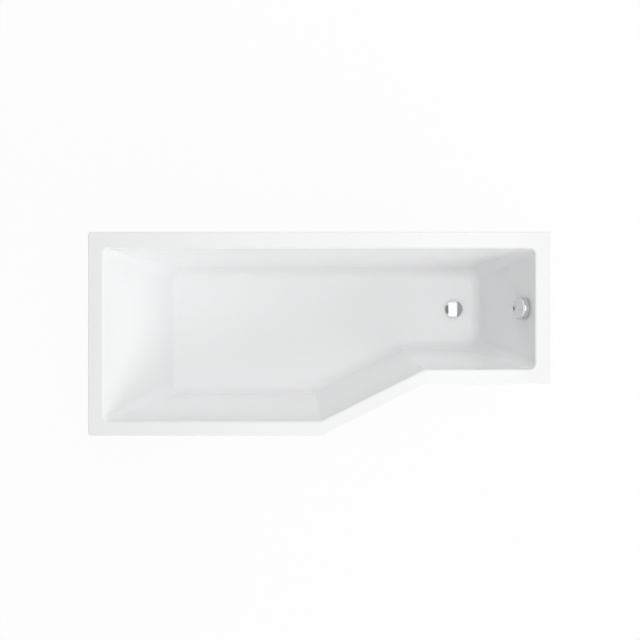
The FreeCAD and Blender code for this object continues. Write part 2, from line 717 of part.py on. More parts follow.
def waste_body():
    """Moulded body below the floor: threaded neck, lever chamber, overflow inlet, cable port and tail."""
    body = cylinder(BODY_FLANGE_R, BODY_TOP - BODY_FLANGE, BODY_TOP)
    inlet = rod_between(SPIGOT_R, Vector(CHAMBER_R, 0, INLET_Z), Vector(INLET_REACH, 0, INLET_Z))
    azimuth = Rotation(Z_AXIS, LEVER_AZIMUTH)
    port_root = azimuth.multVec(Vector(CHAMBER_R + ROOT, 0, WIRE_Z))
    port_end = azimuth.multVec(Vector(WASTE_PORT_REACH, 0, WIRE_Z))
    barrel = cylinder(BODY_R, BODY_LOW, BODY_TOP)
    tail = cylinder(TAIL_R, TAIL_END, BODY_LOW)
    body = body.fuse([barrel, tail, inlet, rod_between(PORT_R, port_root, port_end)]).removeSplitter()
    pin = rod_between(LEVER_PIN_R, Vector(LEVER_REACH, -LEVER_PIN_HALF, LEVER_Z),
                      Vector(LEVER_REACH, LEVER_PIN_HALF, LEVER_Z))
    pin.rotate(Vector(0, 0, 0), Z_AXIS, LEVER_AZIMUTH)
    hollows = [
        cylinder(NECK_R + NECK_PLAY, CHAMBER_TOP, BODY_TOP),
        cylinder(CHAMBER_R, CHAMBER_LOW, CHAMBER_TOP),
        cylinder(TAIL_BORE_R, TAIL_END, CHAMBER_LOW),
        rod_between(SPIGOT_BORE_R, Vector(0, 0, INLET_Z), Vector(INLET_REACH, 0, INLET_Z)),
        rod_between(WIRE_R + WIRE_PLAY, Vector(0, 0, WIRE_Z), port_end),
        pin,
    ]
    for hollow in hollows:
        body = body.cut(hollow)
    body.translate(WASTE)
    return body


def lift_lever():
    """Bell-crank lever: a nose under the stem, a hub on the pin and a fork for the cable."""
    half = LEVER_HALF_WIDTH
    across = Vector(0, 1, 0)
    hub = Part.makeCylinder(LEVER_HUB_R, 2 * half, Vector(0, -half, 0), across)
    nose = Part.makeCylinder(LEVER_NOSE_R, 2 * half, Vector(-LEVER_REACH, -half, 0), across)
    arm = Part.makeBox(LEVER_REACH, 2 * half, LEVER_ARM, Vector(-LEVER_REACH, -half, -LEVER_ARM / 2))
    fork = Part.makeBox(LEVER_PRONG, 2 * half, LEVER_TIP, Vector(-LEVER_PRONG / 2, -half, 0))
    slot_at = Vector(-LEVER_PRONG / 2, -LEVER_SLOT / 2, LEVER_HUB_R)
    slot = Part.makeBox(LEVER_PRONG, LEVER_SLOT, LEVER_TIP - LEVER_HUB_R, slot_at)
    body = hub.fuse([nose, arm, fork.cut(slot)]).removeSplitter()
    bore = Part.makeCylinder(LEVER_PIN_R + LEVER_PIN_PLAY, 2 * half, Vector(0, -half, 0), across)
    body = body.cut(bore)
    body.rotate(Vector(0, 0, 0), across, -math.degrees(LEVER_SWING / 2))
    body.translate(Vector(LEVER_REACH, 0, LEVER_Z))
    body.Placement = lever_frame().multiply(body.Placement)
    return body


def lever_pin():
    pin = rod_between(LEVER_PIN_R, Vector(LEVER_REACH, -LEVER_PIN_HALF, LEVER_Z),
                      Vector(LEVER_REACH, LEVER_PIN_HALF, LEVER_Z))
    pin.Placement = lever_frame().multiply(pin.Placement)
    return pin


def waste_cable_end():
    """Wire end with a cross nipple that pulls the lever's fork outward."""
    lean = math.cos(LEVER_SWING / 2)
    fork_face = LEVER_REACH - CABLE_TRAVEL / 2 - LEVER_PRONG / 2 / lean
    nipple_at = fork_face - (NIPPLE_R + CONTACT_GAP) / lean
    tail_at = WASTE_PORT_REACH - CABLE_TRAVEL - WIRE_TAIL
    half = LEVER_HALF_WIDTH
    nipple = rod_between(NIPPLE_R, Vector(nipple_at, -half, WIRE_Z), Vector(nipple_at, half, WIRE_Z))
    wire = rod_between(WIRE_R, Vector(nipple_at, 0, WIRE_Z), Vector(tail_at, 0, WIRE_Z))
    body = nipple.fuse(wire)
    body.Placement = lever_frame().multiply(body.Placement)
    return body


# Trap

def union_nut(lip_low, lip_up, at):
    """Grip nut that pulls a collar against a seal. The lip is at the low end, or at the top where lip_up."""
    high = lip_low + NUT_LIP + UNION_GRIP
    body = cylinder(UNION_R, lip_low, high, at)
    body = body.cut(cylinder(TAIL_R + UNION_PLAY, lip_low + NUT_LIP, high, at))
    body = body.cut(cylinder(TRAP_R + NUT_LIP_PLAY, lip_low, lip_low + NUT_LIP, at))
    body = scalloped(body, UNION_R, lip_low, high, UNION_SCALLOPS, SCALLOP_BITE, at)
    if lip_up:
        body.rotate(at + Vector(0, 0, lip_low + NUT_LIP / 2), Vector(1, 0, 0), 180)
    return body


def trap_inlet_nut():
    return union_nut(TRAP_TOP - TRAP_COLLAR - NUT_LIP, False, WASTE)


def trap_outlet_nut():
    return union_nut(ELBOW_LOW + TRAP_COLLAR, True, RISER)


def trap_inlet_seal():
    return ring(TAIL_R, TAIL_BORE_R, TRAP_TOP, TAIL_END, WASTE)


def trap_outlet_seal():
    return ring(TAIL_R, TAIL_BORE_R, RISER_TOP, ELBOW_LOW, RISER)


def trap_bend():
    """U-bend that holds the water seal, with a collar at the inlet and a threaded cuff at the riser."""
    x = WASTE_X
    down = Part.LineSegment(Vector(x, WASTE_Y, TRAP_TOP), Vector(x, WASTE_Y, BEND_Z))
    bend = Part.Arc(Vector(x, WASTE_Y, BEND_Z), Vector(x, WASTE_Y + TRAP_BEND_R, BEND_Z - TRAP_BEND_R),
                    Vector(x, RISER_Y, BEND_Z))
    up = Part.LineSegment(Vector(x, RISER_Y, BEND_Z), Vector(x, RISER_Y, RISER_TOP))
    path = Part.Wire([e.toShape() for e in (down, bend, up)])
    collar = cylinder(TAIL_R, TRAP_TOP - TRAP_COLLAR, TRAP_TOP, WASTE)
    cuff = cylinder(TAIL_R, RISER_TOP - TRAP_CUFF, RISER_TOP, RISER)
    body = tube_along(path, TRAP_R).fuse([collar, cuff]).removeSplitter()
    return body.cut(tube_along(path, TRAP_R - TRAP_WALL))


def outlet_elbow():
    """Elbow from the riser to the level outlet, ending in a plain spigot with a stop collar."""
    x = WASTE_X
    turn = math.radians(45)
    centre = Vector(x, RISER_Y + OUTLET_BEND_R, ELBOW_BEND)
    middle = centre + Vector(0, -math.cos(turn), math.sin(turn)) * OUTLET_BEND_R
    start = Vector(x, RISER_Y, ELBOW_BEND)
    level = Vector(x, RISER_Y + OUTLET_BEND_R, OUTLET_Z)
    end = Vector(x, OUTLET_END, OUTLET_Z)
    path = Part.Wire([
        Part.LineSegment(Vector(x, RISER_Y, ELBOW_LOW), start).toShape(),
        Part.Arc(start, middle, level).toShape(),
        Part.LineSegment(level, end).toShape(),
    ])
    collar = cylinder(TAIL_R, ELBOW_LOW, ELBOW_LOW + TRAP_COLLAR, RISER)
    stop_end = Vector(x, OUTLET_END - OUTLET_SPIGOT, OUTLET_Z)
    stop = rod_between(OUTLET_STOP_R, stop_end - Vector(0, OUTLET_STOP, 0), stop_end)
    body = tube_along(path, TRAP_R).fuse([collar, stop]).removeSplitter()
    return body.cut(tube_along(path, TRAP_R - TRAP_WALL))


# Overflow and turning knob

def on_wall(shape):
    shape.Placement = OVERFLOW.multiply(shape.Placement)
    return shape


def overflow_body():
    """Cup behind the wall with a flange, screw posts, hose outlet and cable port."""
    outlet_start = Vector(0, -CUP_BORE_R + ROOT, OUTLET_AXIS)
    outlet_end = Vector(0, -OUTLET_DROP, OUTLET_AXIS)
    port_root = Vector(CUP_BORE_R + ROOT, YOKE_CENTRE, WIRE_DEPTH)
    port_end = Vector(OVERFLOW_PORT_REACH, YOKE_CENTRE, WIRE_DEPTH)
    shell = cylinder(CUP_R, CUP_REAR, CUP_FRONT).fuse([
        cylinder(OVERFLOW_FLANGE_R, CUP_FRONT, SEAL_BACK),
        rod_between(SPIGOT_R, outlet_start, outlet_end),
        rod_between(PORT_R, port_root, port_end),
    ]).removeSplitter()
    shell = shell.cut(cylinder(CUP_BORE_R, CUP_INSIDE, SEAL_BACK))
    shell = shell.cut(rod_between(SPIGOT_BORE_R, Vector(0, 0, OUTLET_AXIS), outlet_end))
    shell = shell.cut(rod_between(WIRE_R + WIRE_PLAY, Vector(0, YOKE_CENTRE, WIRE_DEPTH), port_end))
    post_low = SEAL_BACK - POST_LENGTH
    posts = [cylinder(POST_R, post_low, SEAL_BACK, Vector(side * POST_AT, 0, 0)) for side in (-1, 1)]
    posts = [post.common(cylinder(CUP_R, post_low, SEAL_BACK)) for post in posts]
    body = shell.fuse(posts).removeSplitter()
    for side in (-1, 1):
        at = Vector(side * POST_AT, 0, 0)
        body = body.cut(cylinder(CLAMP_SCREW_R, SEAL_BACK - POST_BORE_DEPTH, SEAL_BACK, at))
    return on_wall(body)


def overflow_rear_seal():
    return on_wall(ring(OVERFLOW_FLANGE_R - SEAL_MARGIN, OVERFLOW_HOLE_R, SEAL_BACK, -SKIN))


def overflow_front_seal():
    return on_wall(ring(CLAMP_R - SEAL_MARGIN, OVERFLOW_HOLE_R, 0, CLAMP_SEAL))


def overflow_clamp_plate():
    """Plate in the bath that two screws pull to the body, with water windows and the spindle bearing."""
    plate = cylinder(CLAMP_R, CLAMP_SEAL, CLAMP_FRONT)
    window = cylinder(CUP_BORE_R, CLAMP_SEAL, CLAMP_FRONT).common(
        Part.makeBox(CLAMP_WINDOW, 2 * CUP_BORE_R, CLAMP, Vector(-CLAMP_WINDOW / 2, -CUP_BORE_R, CLAMP_SEAL)))
    bar_at = Vector(-CLAMP_WINDOW / 2, -CLAMP_HUB_R / 2, CLAMP_SEAL)
    bar = Part.makeBox(CLAMP_WINDOW, CLAMP_HUB_R, CLAMP, bar_at)
    body = plate.cut(window).fuse([bar, cylinder(CLAMP_HUB_R, -CLAMP_HUB_BACK, CLAMP_FRONT)]).removeSplitter()
    body = body.cut(cylinder(SPINDLE_R + SPINDLE_PLAY, -CLAMP_HUB_BACK, CLAMP_FRONT))
    for side in (-1, 1):
        body = body.cut(cylinder(CLAMP_SCREW_R, CLAMP_SEAL, CLAMP_FRONT, Vector(side * POST_AT, 0, 0)))
    return on_wall(body)


def overflow_screws():
    screws = []
    for side in (-1, 1):
        at = Vector(side * POST_AT, 0, 0)
        head = cylinder(CLAMP_HEAD_R, CLAMP_FRONT, CLAMP_FRONT + CLAMP_HEAD, at)
        head = head.makeFillet(CLAMP_HEAD / 2, [e for e in head.Edges if e.BoundBox.ZMin > CLAMP_FRONT + NEAR
                                                and e.BoundBox.ZLength < NEAR])
        shank = cylinder(CLAMP_SCREW_R, SEAL_BACK - POST_BORE_DEPTH, CLAMP_FRONT, at)
        screws.append(on_wall(head.fuse(shank)))
    return Part.makeCompound(screws)


def overflow_knob():
    """Bright hollow rosette: bevelled face, hub for the spindle, finger slot at the face's lower edge."""
    side_top = KNOB_BACK + KNOB_SIDE
    face = side_top + KNOB_BEVEL
    crown = face + KNOB_CROWN
    face_r = KNOB_R - KNOB_BEVEL
    dome_r = (face_r ** 2 + KNOB_CROWN ** 2) / (2 * KNOB_CROWN)
    half = face_r / 2
    inner_r = KNOB_R - KNOB_WALL
    hub_low = KNOB_CEILING - KNOB_SOCKET
    points = [
        (0, KNOB_CEILING), (SPINDLE_R, KNOB_CEILING), (SPINDLE_R, hub_low), (KNOB_HUB_R, hub_low),
        (KNOB_HUB_R, KNOB_CEILING), (inner_r - KNOB_BEVEL, KNOB_CEILING), (inner_r, side_top),
        (inner_r, KNOB_BACK), (KNOB_R, KNOB_BACK), (KNOB_R, side_top), (face_r, face),
    ]
    at = [Vector(r, 0, z) for r, z in points]
    edges = [Part.LineSegment(a, b) for a, b in zip(at, at[1:])]
    top = Vector(0, 0, crown)
    shoulder = Vector(half, 0, crown - dome_r + math.sqrt(dome_r ** 2 - half ** 2))
    edges += [Part.Arc(at[-1], shoulder, top), Part.LineSegment(top, at[0])]
    knob = turned(edges)
    grip = cylinder(GRIP_R, side_top, crown, Vector(0, GRIP_INSET - face_r, 0))
    grip = grip.common(cylinder(face_r - GRIP_EDGE, side_top, crown))
    return on_wall(knob.cut(grip))


def knob_spindle():
    """Spindle through the wall with a crank and pin at its rear end."""
    start = math.radians(90.0 - KNOB_TURN / 2)
    pin_at = Vector(CRANK_THROW * math.cos(start), CRANK_THROW * math.sin(start), 0)
    body = cylinder(SPINDLE_R, CRANK_REAR, KNOB_CEILING).fuse([
        cylinder(CRANK_R, CRANK_REAR, CRANK_REAR + CRANK),
        cylinder(CRANK_PIN_R, PIN_REAR, CRANK_REAR, pin_at),
    ]).removeSplitter()
    return on_wall(body)


def overflow_cable_end():
    """Slotted yoke on the wire end, drawn sideways by the crank pin."""
    x = CABLE_TRAVEL / 2
    slot_half = CRANK_PIN_R + CRANK_THROW - YOKE_CENTRE + YOKE_SLOT_PLAY
    slot_wide = CRANK_PIN_R + YOKE_SLOT_PLAY
    half_height = slot_half + YOKE_MARGIN
    half_width = slot_wide + YOKE_MARGIN
    plate_at = Vector(x - half_width, YOKE_CENTRE - half_height, YOKE_REAR)
    plate = Part.makeBox(2 * half_width, 2 * half_height, YOKE, plate_at)
    slot_at = Vector(x - slot_wide, YOKE_CENTRE - slot_half, YOKE_REAR)
    slot = Part.makeBox(2 * slot_wide, 2 * slot_half, YOKE, slot_at)
    wire_start = Vector(x + half_width - WIRE_R, YOKE_CENTRE, WIRE_DEPTH)
    wire_end = Vector(OVERFLOW_PORT_REACH - WIRE_TAIL, YOKE_CENTRE, WIRE_DEPTH)
    return on_wall(plate.cut(slot).fuse(rod_between(WIRE_R, wire_start, wire_end)))


# Overflow hose, its nuts and the lift cable

HOSE_TOP = OVERFLOW.multVec(Vector(0, -OUTLET_DROP, OUTLET_AXIS))
HOSE_FOOT = WASTE + Vector(INLET_REACH, 0, INLET_Z)
HOSE_POINTS = [
    HOSE_TOP, HOSE_TOP - WALL_UP * HOSE_UPPER_RUN, HOSE_FOOT + Vector(HOSE_LOWER_RUN, 0, 0), HOSE_FOOT,
]


def hose_stations(path, spacings):
    """Point and heading at each distance along a path."""
    ends = []
    run = 0.0
    for edge in path.OrderedEdges:
        ends.append((run, edge))
        run += edge.Length
    stations = []
    for distance in spacings:
        begin, edge = [pair for pair in ends if pair[0] <= distance + 1e-9][-1]
        parameter = edge.getParameterByLength(min(max(distance - begin, 0.0), edge.Length))
        heading = edge.tangentAt(parameter)
        stations.append((edge.valueAt(parameter), heading))
    return stations


def hose_circle(station, radius):
    """Circle square to the hose, with its seam always on the same side."""
    at, heading = station
    wire = Part.Wire(Part.makeCircle(radius))
    across = Vector(0, 1, 0)
    wire.Placement = Placement(at, Rotation(across, heading.cross(across), heading, "ZXY"))
    return wire


def overflow_hose():
    """Ribbed hose from the overflow to the waste body, with a plain cuff at each end."""
    path = bent_path(HOSE_POINTS, [HOSE_UPPER_BEND, HOSE_LOWER_BEND])
    ribs = int((path.Length - 2 * HOSE_CUFF) / HOSE_PITCH)
    pitch = (path.Length - 2 * HOSE_CUFF) / ribs
    root_r = HOSE_R - HOSE_RIB
    rows = [(0.0, SPIGOT_R), (HOSE_CUFF - pitch / 4, SPIGOT_R)]
    for i in range(ribs):
        root = HOSE_CUFF + i * pitch
        rows += [(root, root_r), (root + pitch / 4, root_r)]
        rows += [(root + pitch / 2, HOSE_R), (root + 3 * pitch / 4, HOSE_R)]
    rows += [(path.Length - HOSE_CUFF, root_r), (path.Length - HOSE_CUFF + pitch / 4, SPIGOT_R)]
    rows.append((path.Length, SPIGOT_R))
    stations = hose_stations(path, [distance for distance, _ in rows])
    outside = Part.makeLoft([hose_circle(s, r) for s, (_, r) in zip(stations, rows)], True, True)
    bore = Part.makeLoft([hose_circle(s, root_r - HOSE_WALL) for s in stations], True, True)
    print("overflow hose: %.1f mm long, %d ribs" % (path.Length, ribs))
    return outside.cut(bore)


def hose_nut(at, heading):
    """Grip nut that clamps a hose cuff to its spigot, centred on the joint between them."""
    inner = SPIGOT_R + HOSE_NUT_PLAY
    outer = inner + HOSE_NUT_WALL
    half = HOSE_NUT_LENGTH / 2
    body = ring(outer, inner, -half, half)
    body = scalloped(body, outer, -half, half, UNION_SCALLOPS, SCALLOP_BITE, Vector(0, 0, 0))
    across = Vector(0, 1, 0)
    body.Placement = Placement(at, Rotation(across, heading.cross(across), heading, "ZXY"))
    return body


def hose_nut_upper():
    return hose_nut(HOSE_TOP, WALL_UP)


def hose_nut_lower():
    return hose_nut(HOSE_FOOT, Vector(1, 0, 0))


def lift_cable():
    """Sheathed cable from the overflow port to the waste port."""
    top = OVERFLOW.multVec(Vector(OVERFLOW_PORT_REACH, YOKE_CENTRE, WIRE_DEPTH))
    top_lead = top + Vector(0, -CABLE_LEAD, 0)
    outward = Rotation(Z_AXIS, LEVER_AZIMUTH).multVec(Vector(1, 0, 0))
    foot = WASTE + outward * WASTE_PORT_REACH + Vector(0, 0, WIRE_Z)
    foot_lead = foot + outward * CABLE_LEAD
    between = [WASTE + Vector(x, y, WIRE_Z + rise * (top.z - WIRE_Z)) for x, y, rise in CABLE_POINTS]
    points = [top, top_lead] + between + [foot_lead, foot]
    radii = []
    for before, corner, after in zip(points, points[1:], points[2:]):
        half_turn = (corner - before).getAngle(after - corner) / 2
        shorter = min((corner - before).Length, (after - corner).Length)
        radii.append(CABLE_BEND_SHARE * shorter / math.tan(half_turn))
    path = bent_path(points, radii)
    cable = tube_along(path, CABLE_R)
    drawn = math.pi * CABLE_R ** 2 * path.Length
    print("lift cable: %.1f mm long, radii %s" % (path.Length, [round(r) for r in radii]))
    print("lift cable volume over section times length: %.4f" % (cable.Volume / drawn))
    return cable


def parts():
    """Every sub-part by node name."""
    made = {
        "tub_shell": tub_shell(),
        "glass_fibre_backing": glass_fibre_backing(),
        "base_board": base_board(),
        "rail_wide": rail_channel("wide"),
        "rail_narrow": rail_channel("narrow"),
        "rail_screws": rail_screws(),
        "foot_washers": foot_washers(),
    }
    for rail in RAILS:
        for end, at in foot_places(rail).items():
            made["foot_pad_%s_%s" % (rail, end)] = foot_pad(at)
            made["foot_rod_%s_%s" % (rail, end)] = foot_rod(at)
            made["foot_nuts_%s_%s" % (rail, end)] = foot_nuts(at)
    for make in (
        waste_flange, waste_flange_seal, waste_body_seal, waste_body, plug_cap, plug_seal, plug_stem,
        lift_lever, lever_pin, waste_cable_end, trap_inlet_nut, trap_inlet_seal, trap_bend,
        trap_outlet_nut, trap_outlet_seal, outlet_elbow, overflow_body, overflow_rear_seal,
        overflow_front_seal, overflow_clamp_plate, overflow_screws, overflow_knob, knob_spindle,
        overflow_cable_end, overflow_hose, hose_nut_upper, hose_nut_lower, lift_cable,
    ):
        made[make.__name__] = make()
    return made


def main():
    os.makedirs("parts", exist_ok=True)
    for name, shape in parts().items():
        shape.exportStep("parts/%s.step" % name)
        litres = shape.Volume / 1e6
        print("%-24s %d solids, valid %s, %.4f l" % (name, len(shape.Solids), shape.isValid(), litres))


main()
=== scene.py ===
# Corner shower bath: acrylic shell on screw feet, with a pop-up waste, overflow and trap.
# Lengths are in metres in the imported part's frame: +X to the waste end, +Y to the wall side, +Z up.
import math
from collections import namedtuple

import bmesh
import bpy
from mathutils import Matrix, Vector, noise


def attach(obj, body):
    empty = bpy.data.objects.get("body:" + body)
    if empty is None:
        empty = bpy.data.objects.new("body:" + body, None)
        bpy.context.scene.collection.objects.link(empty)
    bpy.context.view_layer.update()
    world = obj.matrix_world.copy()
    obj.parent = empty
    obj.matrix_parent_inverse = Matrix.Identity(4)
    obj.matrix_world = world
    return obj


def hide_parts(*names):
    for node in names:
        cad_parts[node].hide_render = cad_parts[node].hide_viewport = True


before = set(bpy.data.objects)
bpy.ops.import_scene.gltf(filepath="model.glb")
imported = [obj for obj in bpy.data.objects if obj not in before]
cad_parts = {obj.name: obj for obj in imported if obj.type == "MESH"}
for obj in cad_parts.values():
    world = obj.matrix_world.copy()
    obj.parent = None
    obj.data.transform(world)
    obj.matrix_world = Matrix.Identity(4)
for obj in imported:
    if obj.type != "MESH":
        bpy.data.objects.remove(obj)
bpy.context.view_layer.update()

# Acrylic shell
# One white acrylic sheet, heated and drawn by vacuum over a mould, so rim, skirt and well are one skin.
# Every wall leans out for the draw and meets the floor in its own cove. The two holes are drilled after.

HALF_LENGTH = 0.850
HALF_WIDTH = 0.375
SHEET = 0.005
FLOOR_TOP = 0.180
RIM_TOP = 0.600
DEPTH = RIM_TOP - FLOOR_TOP
SKIRT = 0.035
SKIRT_ROUND = 0.0025
LIP_ROUND = 0.009
RIM_CORNER = 0.008
RIM_CORNER_LEAST = 0.001
CORNER_AT_RIM = 0.022
CORNER_AT_FLOOR = 0.055
ELBOW_AT_RIM = 0.020
ELBOW_AT_FLOOR = 0.030
CORNER_STEPS = 14
COVE_STEPS = 12
LIP_STEPS = 8
HOLE_R = 0.026
HOLE_STEPS = 56
SHELL_CUT_REACH = 0.3
SHELL_CUT_LIKENESS = 0.9999
WASTE = Vector((0.548, 0.095, 0.0))
KINK_END = Vector((0.388, -0.185))
KINK_SLOPE = 0.5
KINK_TURN = math.atan(KINK_SLOPE)
OVERFLOW_HEIGHT = 0.530

Wall = namedtuple("Wall", "facing edge rim lean cove")
kink_facing = Vector((math.sin(KINK_TURN), -math.cos(KINK_TURN)))
backrest = Wall(Vector((-1, 0)), HALF_LENGTH, 0.055, 0.200, 0.022)
wide_front = Wall(Vector((0, -1)), HALF_WIDTH, 0.055, 0.078, 0.030)
kink = Wall(kink_facing, kink_facing.dot(KINK_END), 0.050, 0.085, 0.046)
narrow_front = Wall(Vector((0, -1)), -KINK_END.y, 0.055, 0.066, 0.046)
foot_end = Wall(Vector((1, 0)), HALF_LENGTH, 0.055, 0.150, 0.040)
back = Wall(Vector((0, 1)), HALF_WIDTH, 0.060, 0.058, 0.045)
walls = [backrest, wide_front, kink, narrow_front, foot_end, back]
next_walls = walls[1:] + walls[:1]

foot_lean = math.atan(foot_end.lean / DEPTH)
wall_up = Vector((math.sin(foot_lean), 0, math.cos(foot_lean)))
wall_out = Vector((-math.cos(foot_lean), 0, math.sin(foot_lean)))


def wall_line(wall, height, skin=0.0):
    """Plan distance of a wall at a height, on the face a skin thickness behind the well."""
    slope = wall.lean / DEPTH
    return wall.edge - wall.rim - slope * (RIM_TOP - height) + skin * math.hypot(1, slope)


def cove_point(wall, share, skin=0.0):
    """Distance and height on the round between floor and wall, from share 0 on the floor to 1 on the wall."""
    steepness = math.atan2(DEPTH, wall.lean)
    radius = wall.cove + skin
    low = FLOOR_TOP - skin
    start = wall_line(wall, low, skin) - radius * math.tan(steepness / 2)
    turn = share * steepness
    return start + radius * math.sin(turn), low + radius * (1 - math.cos(turn))


def lip_point(wall, share):
    """Distance and height on the round between wall and rim, from share 0 on the wall to 1 on the rim."""
    steepness = math.atan2(DEPTH, wall.lean)
    end = wall.edge - wall.rim + LIP_ROUND * math.tan(steepness / 2)
    turn = (1 - share) * steepness
    return end - LIP_ROUND * math.sin(turn), RIM_TOP - LIP_ROUND * (1 - math.cos(turn))


def outline(row, rounds, runs):
    """Closed loop at one distance and height for each wall, with an arc of its own round at each corner."""
    arcs = []
    for i, (wall, after_wall) in enumerate(zip(walls, next_walls)):
        (near, height), (far, next_height) = row[i], row[(i + 1) % len(row)]
        n, m = wall.facing, after_wall.facing
        corner = Vector((near * m.y - far * n.y, far * n.x - near * m.x)) / n.cross(m)
        before, after = Vector((-n.y, n.x)), Vector((-m.y, m.x))
        half = before.angle(after) / 2
        inward = (after - before).normalized()
        ahead = (before + after).normalized()
        centre = corner + inward * (rounds[i] / math.cos(half))
        arc = []
        for k in range(CORNER_STEPS + 1):
            share = k / CORNER_STEPS
            turn = (2 * share - 1) * half
            at = centre + rounds[i] * (ahead * math.sin(turn) - inward * math.cos(turn))
            arc.append(Vector((at.x, at.y, height + share * (next_height - height))))
        arcs.append(arc)
    loop = []
    for arc, next_arc, steps in zip(arcs, arcs[1:] + arcs[:1], runs[1:] + runs[:1]):
        loop += arc
        loop += [arc[-1].lerp(next_arc[0], k / steps) for k in range(1, steps)]
    return loop


def corner_rounds(convex, elbow):
    """One round for each corner; the one after the kink turns the other way."""
    return [elbow if wall is kink else convex for wall in walls]


whole_runs = [1] * len(walls)


def well_loop(row, skin=0.0, runs=whole_runs):
    """Loop in the well. Its corners open from the rim down, and tighten where it lies inside the walls."""
    insets = [wall_line(wall, height, skin) - distance for wall, (distance, height) in zip(walls, row)]
    inset = sum(insets) / len(insets)
    share = sum(RIM_TOP - height for _, height in row) / len(row) / DEPTH
    convex = CORNER_AT_RIM + share * (CORNER_AT_FLOOR - CORNER_AT_RIM) + skin - inset
    elbow = ELBOW_AT_RIM + share * (ELBOW_AT_FLOOR - ELBOW_AT_RIM) - skin + inset
    return outline(row, corner_rounds(convex, elbow), runs)


def rim_loop(inset, height, runs=whole_runs):
    """Loop round the outside of the rim."""
    row = [(wall.edge - inset, height) for wall in walls]
    return outline(row, corner_rounds(max(RIM_CORNER - inset, RIM_CORNER_LEAST), RIM_CORNER + inset), runs)


def skin_rows(bm, loops):
    """Rows of points joined into one skin that faces up and into the well. Gives the rows of vertices."""
    rows = [[bm.verts.new(point) for point in loop] for loop in loops]
    for inner, outer in zip(rows, rows[1:]):
        for k in range(len(inner)):
            j = (k + 1) % len(inner)
            bm.faces.new((inner[k], outer[k], outer[j], inner[j]))
    return rows


def ring_edges(bm, verts):
    """Edges of a closed loop of vertices, new or already there."""
    pairs = zip(verts, verts[1:] + verts[:1])
    return [bm.edges.get(pair) or bm.edges.new(pair) for pair in pairs]


def fill_round_hole(bm, edges, centre, axis, radius):
    """Fills a flat loop of edges all but a round hole."""
    across = axis.orthogonal().normalized()
    aside = axis.cross(across)
    turns = [2 * math.pi * k / HOLE_STEPS for k in range(HOLE_STEPS)]
    hole = [bm.verts.new(centre + radius * (across * math.cos(t) + aside * math.sin(t))) for t in turns]
    bmesh.ops.triangle_fill(bm, use_beauty=True, edges=edges + ring_edges(bm, hole), normal=axis)


def cut_overflow(bm, centre, reach, likeness):
    """Opens the foot-end wall round the overflow: takes out its flat faces and fills back to the hole.

    A face is taken if it lies within the reach and faces the wall's way as closely as the likeness.
    """
    bm.normal_update()
    flat = []
    for face in bm.faces:
        away = face.calc_center_median() - centre
        beside = away - wall_out * away.dot(wall_out)
        if abs(face.normal.dot(wall_out)) > likeness and beside.length < reach:
            flat.append(face)
    bordering = dict.fromkeys(edge for face in flat for edge in face.edges)
    border = [e for e in bordering if sum(f in flat for f in e.link_faces) == 1]
    facing = sum((f.normal for f in flat), Vector()).normalized()
    bmesh.ops.delete(bm, geom=flat, context="FACES_KEEP_BOUNDARY")
    fill_round_hole(bm, border, centre, facing, HOLE_R)


def add_node(material, kind, **values):
    """Adds a node to a finish and sets its inputs or its own fields."""
    node = material.node_tree.nodes.new(kind)
    for name, value in values.items():
        label = name.replace("_", " ").title()
        if hasattr(node, name):
            setattr(node, name, value)
        else:
            node.inputs[label].default_value = value
    return node


def new_finish(name, colour, roughness, metallic=0.0):
    """A finish with its even values on the shader, ready for the detail that the next lines add."""
    material = bpy.data.materials.new(name)
    material.use_nodes = True
    shader = material.node_tree.nodes["Principled BSDF"]
    shader.inputs["Base Color"].default_value = (*colour, 1)
    shader.inputs["Roughness"].default_value = roughness
    shader.inputs["Metallic"].default_value = metallic
    return material


def laid_out(material, stretch, turn):
    """The place on the piece, drawn out by stretch along axes turned by turn."""
    place = add_node(material, "ShaderNodeTexCoord")
    laid = add_node(material, "ShaderNodeMapping", vector_type="TEXTURE", scale=stretch, rotation=turn)
    material.node_tree.links.new(place.outputs["Object"], laid.inputs["Vector"])
    return laid.outputs["Vector"]


def grain(material, scale, detail=3.0, stretch=(1, 1, 1), turn=(0, 0, 0)):
    """Noise over the piece, finer with a larger scale and drawn out by stretch. Gives its output."""
    cloud = add_node(material, "ShaderNodeTexNoise", scale=scale, detail=detail)
    material.node_tree.links.new(laid_out(material, stretch, turn), cloud.inputs["Vector"])
    return cloud.outputs["Fac"]


# Most of a grain's levels lie between these two.
GRAIN_LOW = 0.3
GRAIN_HIGH = 0.7


def tint(material, fac, dark, light):
    """Colour that wanders between two with a grain."""
    links = material.node_tree.links
    ramp = add_node(material, "ShaderNodeValToRGB")
    ramp.color_ramp.elements[0].position = GRAIN_LOW
    ramp.color_ramp.elements[1].position = GRAIN_HIGH
    ramp.color_ramp.elements[0].color = (*dark, 1)
    ramp.color_ramp.elements[1].color = (*light, 1)
    links.new(fac, ramp.inputs["Fac"])
    links.new(ramp.outputs["Color"], material.node_tree.nodes["Principled BSDF"].inputs["Base Color"])


def polish(material, fac, low, high):
    """Roughness that wanders between two with a grain."""
    links = material.node_tree.links
    spread = add_node(material, "ShaderNodeMapRange")
    spread.inputs["From Min"].default_value = GRAIN_LOW
    spread.inputs["From Max"].default_value = GRAIN_HIGH
    spread.inputs["To Min"].default_value = low
    spread.inputs["To Max"].default_value = high
    links.new(fac, spread.inputs["Value"])
    links.new(spread.outputs["Result"], material.node_tree.nodes["Principled BSDF"].inputs["Roughness"])


def relief(material, fac, depth):
    """Fine relief of a depth in metres from a grain."""
    links = material.node_tree.links
    bump = add_node(material, "ShaderNodeBump", distance=depth)
    links.new(fac, bump.inputs["Height"])
    links.new(bump.outputs["Normal"], material.node_tree.nodes["Principled BSDF"].inputs["Normal"])


